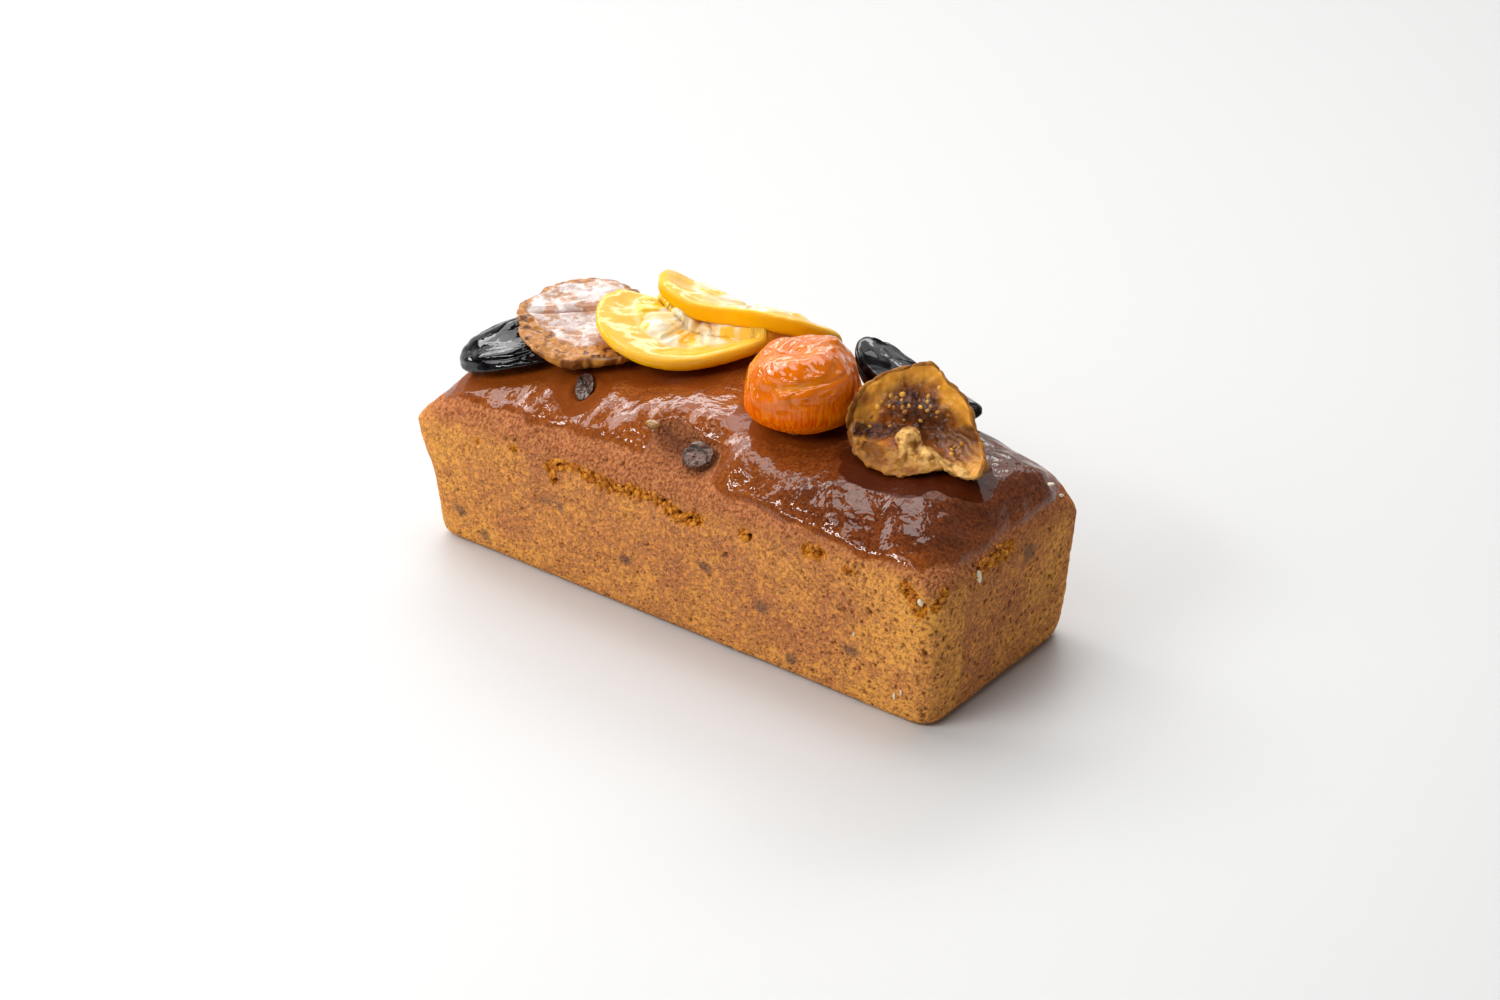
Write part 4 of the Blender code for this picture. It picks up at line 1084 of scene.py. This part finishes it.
def add_seeds(tree):
    """Amber seeds that lie half sunk in the opened fig's pulp."""
    draw = np.random.default_rng(5)
    outward = (OPEN_FIG_PLACE.to_3x3() @ Vector((0, 0, 1))).normalized()
    lumps = []
    placed = []
    for middle, spread, count in SEED_CLUSTERS:
        for _ in range(count):
            x, y = draw.normal(middle, spread)
            start = OPEN_FIG_PLACE @ Vector((x, y, 25.0)) * MM
            hit, normal, _, _ = tree.ray_cast(start, -outward)
            crowded = hit is not None and any((hit - other).length < 1.2 * MM for other in placed)
            if hit is None or crowded or normal.dot(outward) < 0.5 or math.hypot(x, y) > 15.5:
                continue
            placed.append(hit)
            size = draw.uniform(0.40, 0.80) * MM
            lumps.append(resting(hit, normal, (1.25 * size, size, 0.8 * size), draw.uniform(0, 6.3), 0.68))
    f = Finish("seed_gold", roughness=0.35, coat_weight=0.5, coat_roughness=0.05)
    f.feed("Base Color", f.mix(f.value("shade"), (0.28, 0.070, 0.004), (0.92, 0.46, 0.050)))
    f.feed("Normal", f.bump(f.noise(0.3), 0.05))
    add_lumps("fig_seeds", f, lumps, 0.05)


def add_crumbs(tree):
    """Crumbs that stand out of the torn spots."""
    draw = np.random.default_rng(7)
    lumps = []
    for width, line in TORN_LINES:
        for a, b in itertools.pairwise(np.array(line)):
            length = np.linalg.norm(b - a)
            for _ in range(int(3.0 * length * width / 1.6) + 1):
                spot = a + (b - a) * draw.uniform() + draw.normal(0.0, 0.55 * width, 3)
                hit, normal, _, _ = tree.find_nearest(Vector(spot) * MM)
                size = draw.uniform(0.30, 0.85) * MM
                radii = (size * draw.uniform(0.8, 1.3), size, size * draw.uniform(0.7, 1.0))
                lumps.append(resting(hit, normal, radii, draw.uniform(0, 6.3), draw.uniform(0.3, 0.6)))
    f = Finish("crumb_gold", roughness=0.7, specular_ior_level=0.25)
    colour = f.mix(f.value("shade"), (0.44, 0.125, 0.010), (0.86, 0.36, 0.036))
    f.feed("Base Color", f.mix(f.step(0.5, 0.7, f.noise(0.5, 3.0)), colour, (0.30, 0.08, 0.010)))
    f.feed("Normal", f.bump(f.noise(0.3, 3.0), 0.1))
    add_lumps("split_crumbs", f, lumps, 0.35)


def fleck_frames(tree, flecks, lift):
    """Frames for flecks, pulled onto their surface and lifted by a share of their thickness."""
    lumps = []
    for place, radii, (about_x, about_z) in flecks:
        hit, normal, _, _ = tree.find_nearest(Vector(place) * MM)
        spot = hit + normal * lift * min(radii) * MM
        turn = Matrix.Rotation(math.radians(about_z), 4, "Z")
        turn @= Matrix.Rotation(math.radians(about_x), 4, "X")
        lumps.append(Matrix.Translation(spot) @ turn @ Matrix.Diagonal((*[r * MM for r in radii], 1.0)))
    return lumps


def add_flecks(tree):
    """Cream flecks of nut in the walls and the glaze, and bits of translucent peel in the crown."""
    f = Finish("nut_cream", roughness=0.5, coat_weight=0.5, coat_roughness=0.1)
    f.feed("Base Color", f.mix(f.noise(0.8), (0.86, 0.72, 0.46), (0.95, 0.88, 0.70)))
    f.feed("Normal", f.bump(f.noise(0.4, 3.0), 0.1))
    add_lumps("nut_flecks", f, fleck_frames(tree, NUT_FLECKS, 0.25), 0.25)
    f = Finish("peel_candied", roughness=0.3, coat_weight=1.0, coat_roughness=0.05)
    f.feed("Base Color", f.mix(f.noise(0.9), (0.26, 0.100, 0.014), (0.48, 0.25, 0.050)))
    f.feed("Normal", f.bump(f.noise(0.5, 3.0), 0.1))
    add_lumps("peel_bits", f, fleck_frames(tree, PEEL_BITS, -0.3), 0.25)


def add_loaf():
    mesh = fine_mesh("loaf")
    shape_loaf(mesh)
    add_piece("loaf_crust", mesh, crust_finish(), ["loaf"])
    tree = tree_of_mesh(mesh)
    add_crumbs(tree)
    add_flecks(tree)


def add_prunes():
    for node, place, dull, seed in (
        ("prune_left", PRUNE_LEFT_PLACE, 0.8, 81),
        ("prune_right", PRUNE_RIGHT_PLACE, 0.1, 91),
    ):
        mesh = fine_mesh(node)
        shape_dried(mesh, place, 5.5, 0.36, seed)
        add_piece(node + "_skin", mesh, prune_finish(node + "_black", dull), [node])


def add_raisins():
    for node, place, dusty, seed in (
        ("raisin_crater", RAISIN_CRATER_PLACE, 1.0, 101),
        ("raisin_by_fig", RAISIN_BY_FIG_PLACE, 0.25, 111),
    ):
        mesh = fine_mesh(node)
        shape_dried(mesh, place, 1.9, 0.55, seed)
        add_piece(node + "_skin", mesh, raisin_finish(node + "_dried", dusty), [node])


def add_apricot():
    mesh = fine_mesh("apricot")
    shape_apricot(mesh)
    add_piece("apricot_flesh", mesh, apricot_finish(), ["apricot"])


def add_figs():
    mesh = fine_mesh("fig_flat")
    shape_flat_fig(mesh)
    add_piece("fig_flat_half", mesh, flat_fig_finish(), ["fig_flat"])
    mesh = fine_mesh("fig_open")
    shape_open_fig(mesh)
    add_piece("fig_open_half", mesh, open_fig_finish(), ["fig_open"])
    add_seeds(tree_of_mesh(mesh))


def add_slices():
    orange = orange_finish()
    for node, place, rind, seed in (
        ("orange_front", FRONT_SLICE_PLACE, 0.3, 121),
        ("orange_back", BACK_SLICE_PLACE, 0.6, 131),
    ):
        mesh = fine_mesh(node)
        if node == "orange_front":
            fill_under(mesh, "orange_back", SYRUP_REACH)
        shape_slice(mesh, place, rind, seed)
        add_piece(node + "_slice", mesh, orange, [node])


bpy.context.scene.view_settings.view_transform = "Standard"
add_camera()
add_lights()
add_floor()
add_loaf()
add_prunes()
add_raisins()
add_apricot()
add_figs()
add_slices()
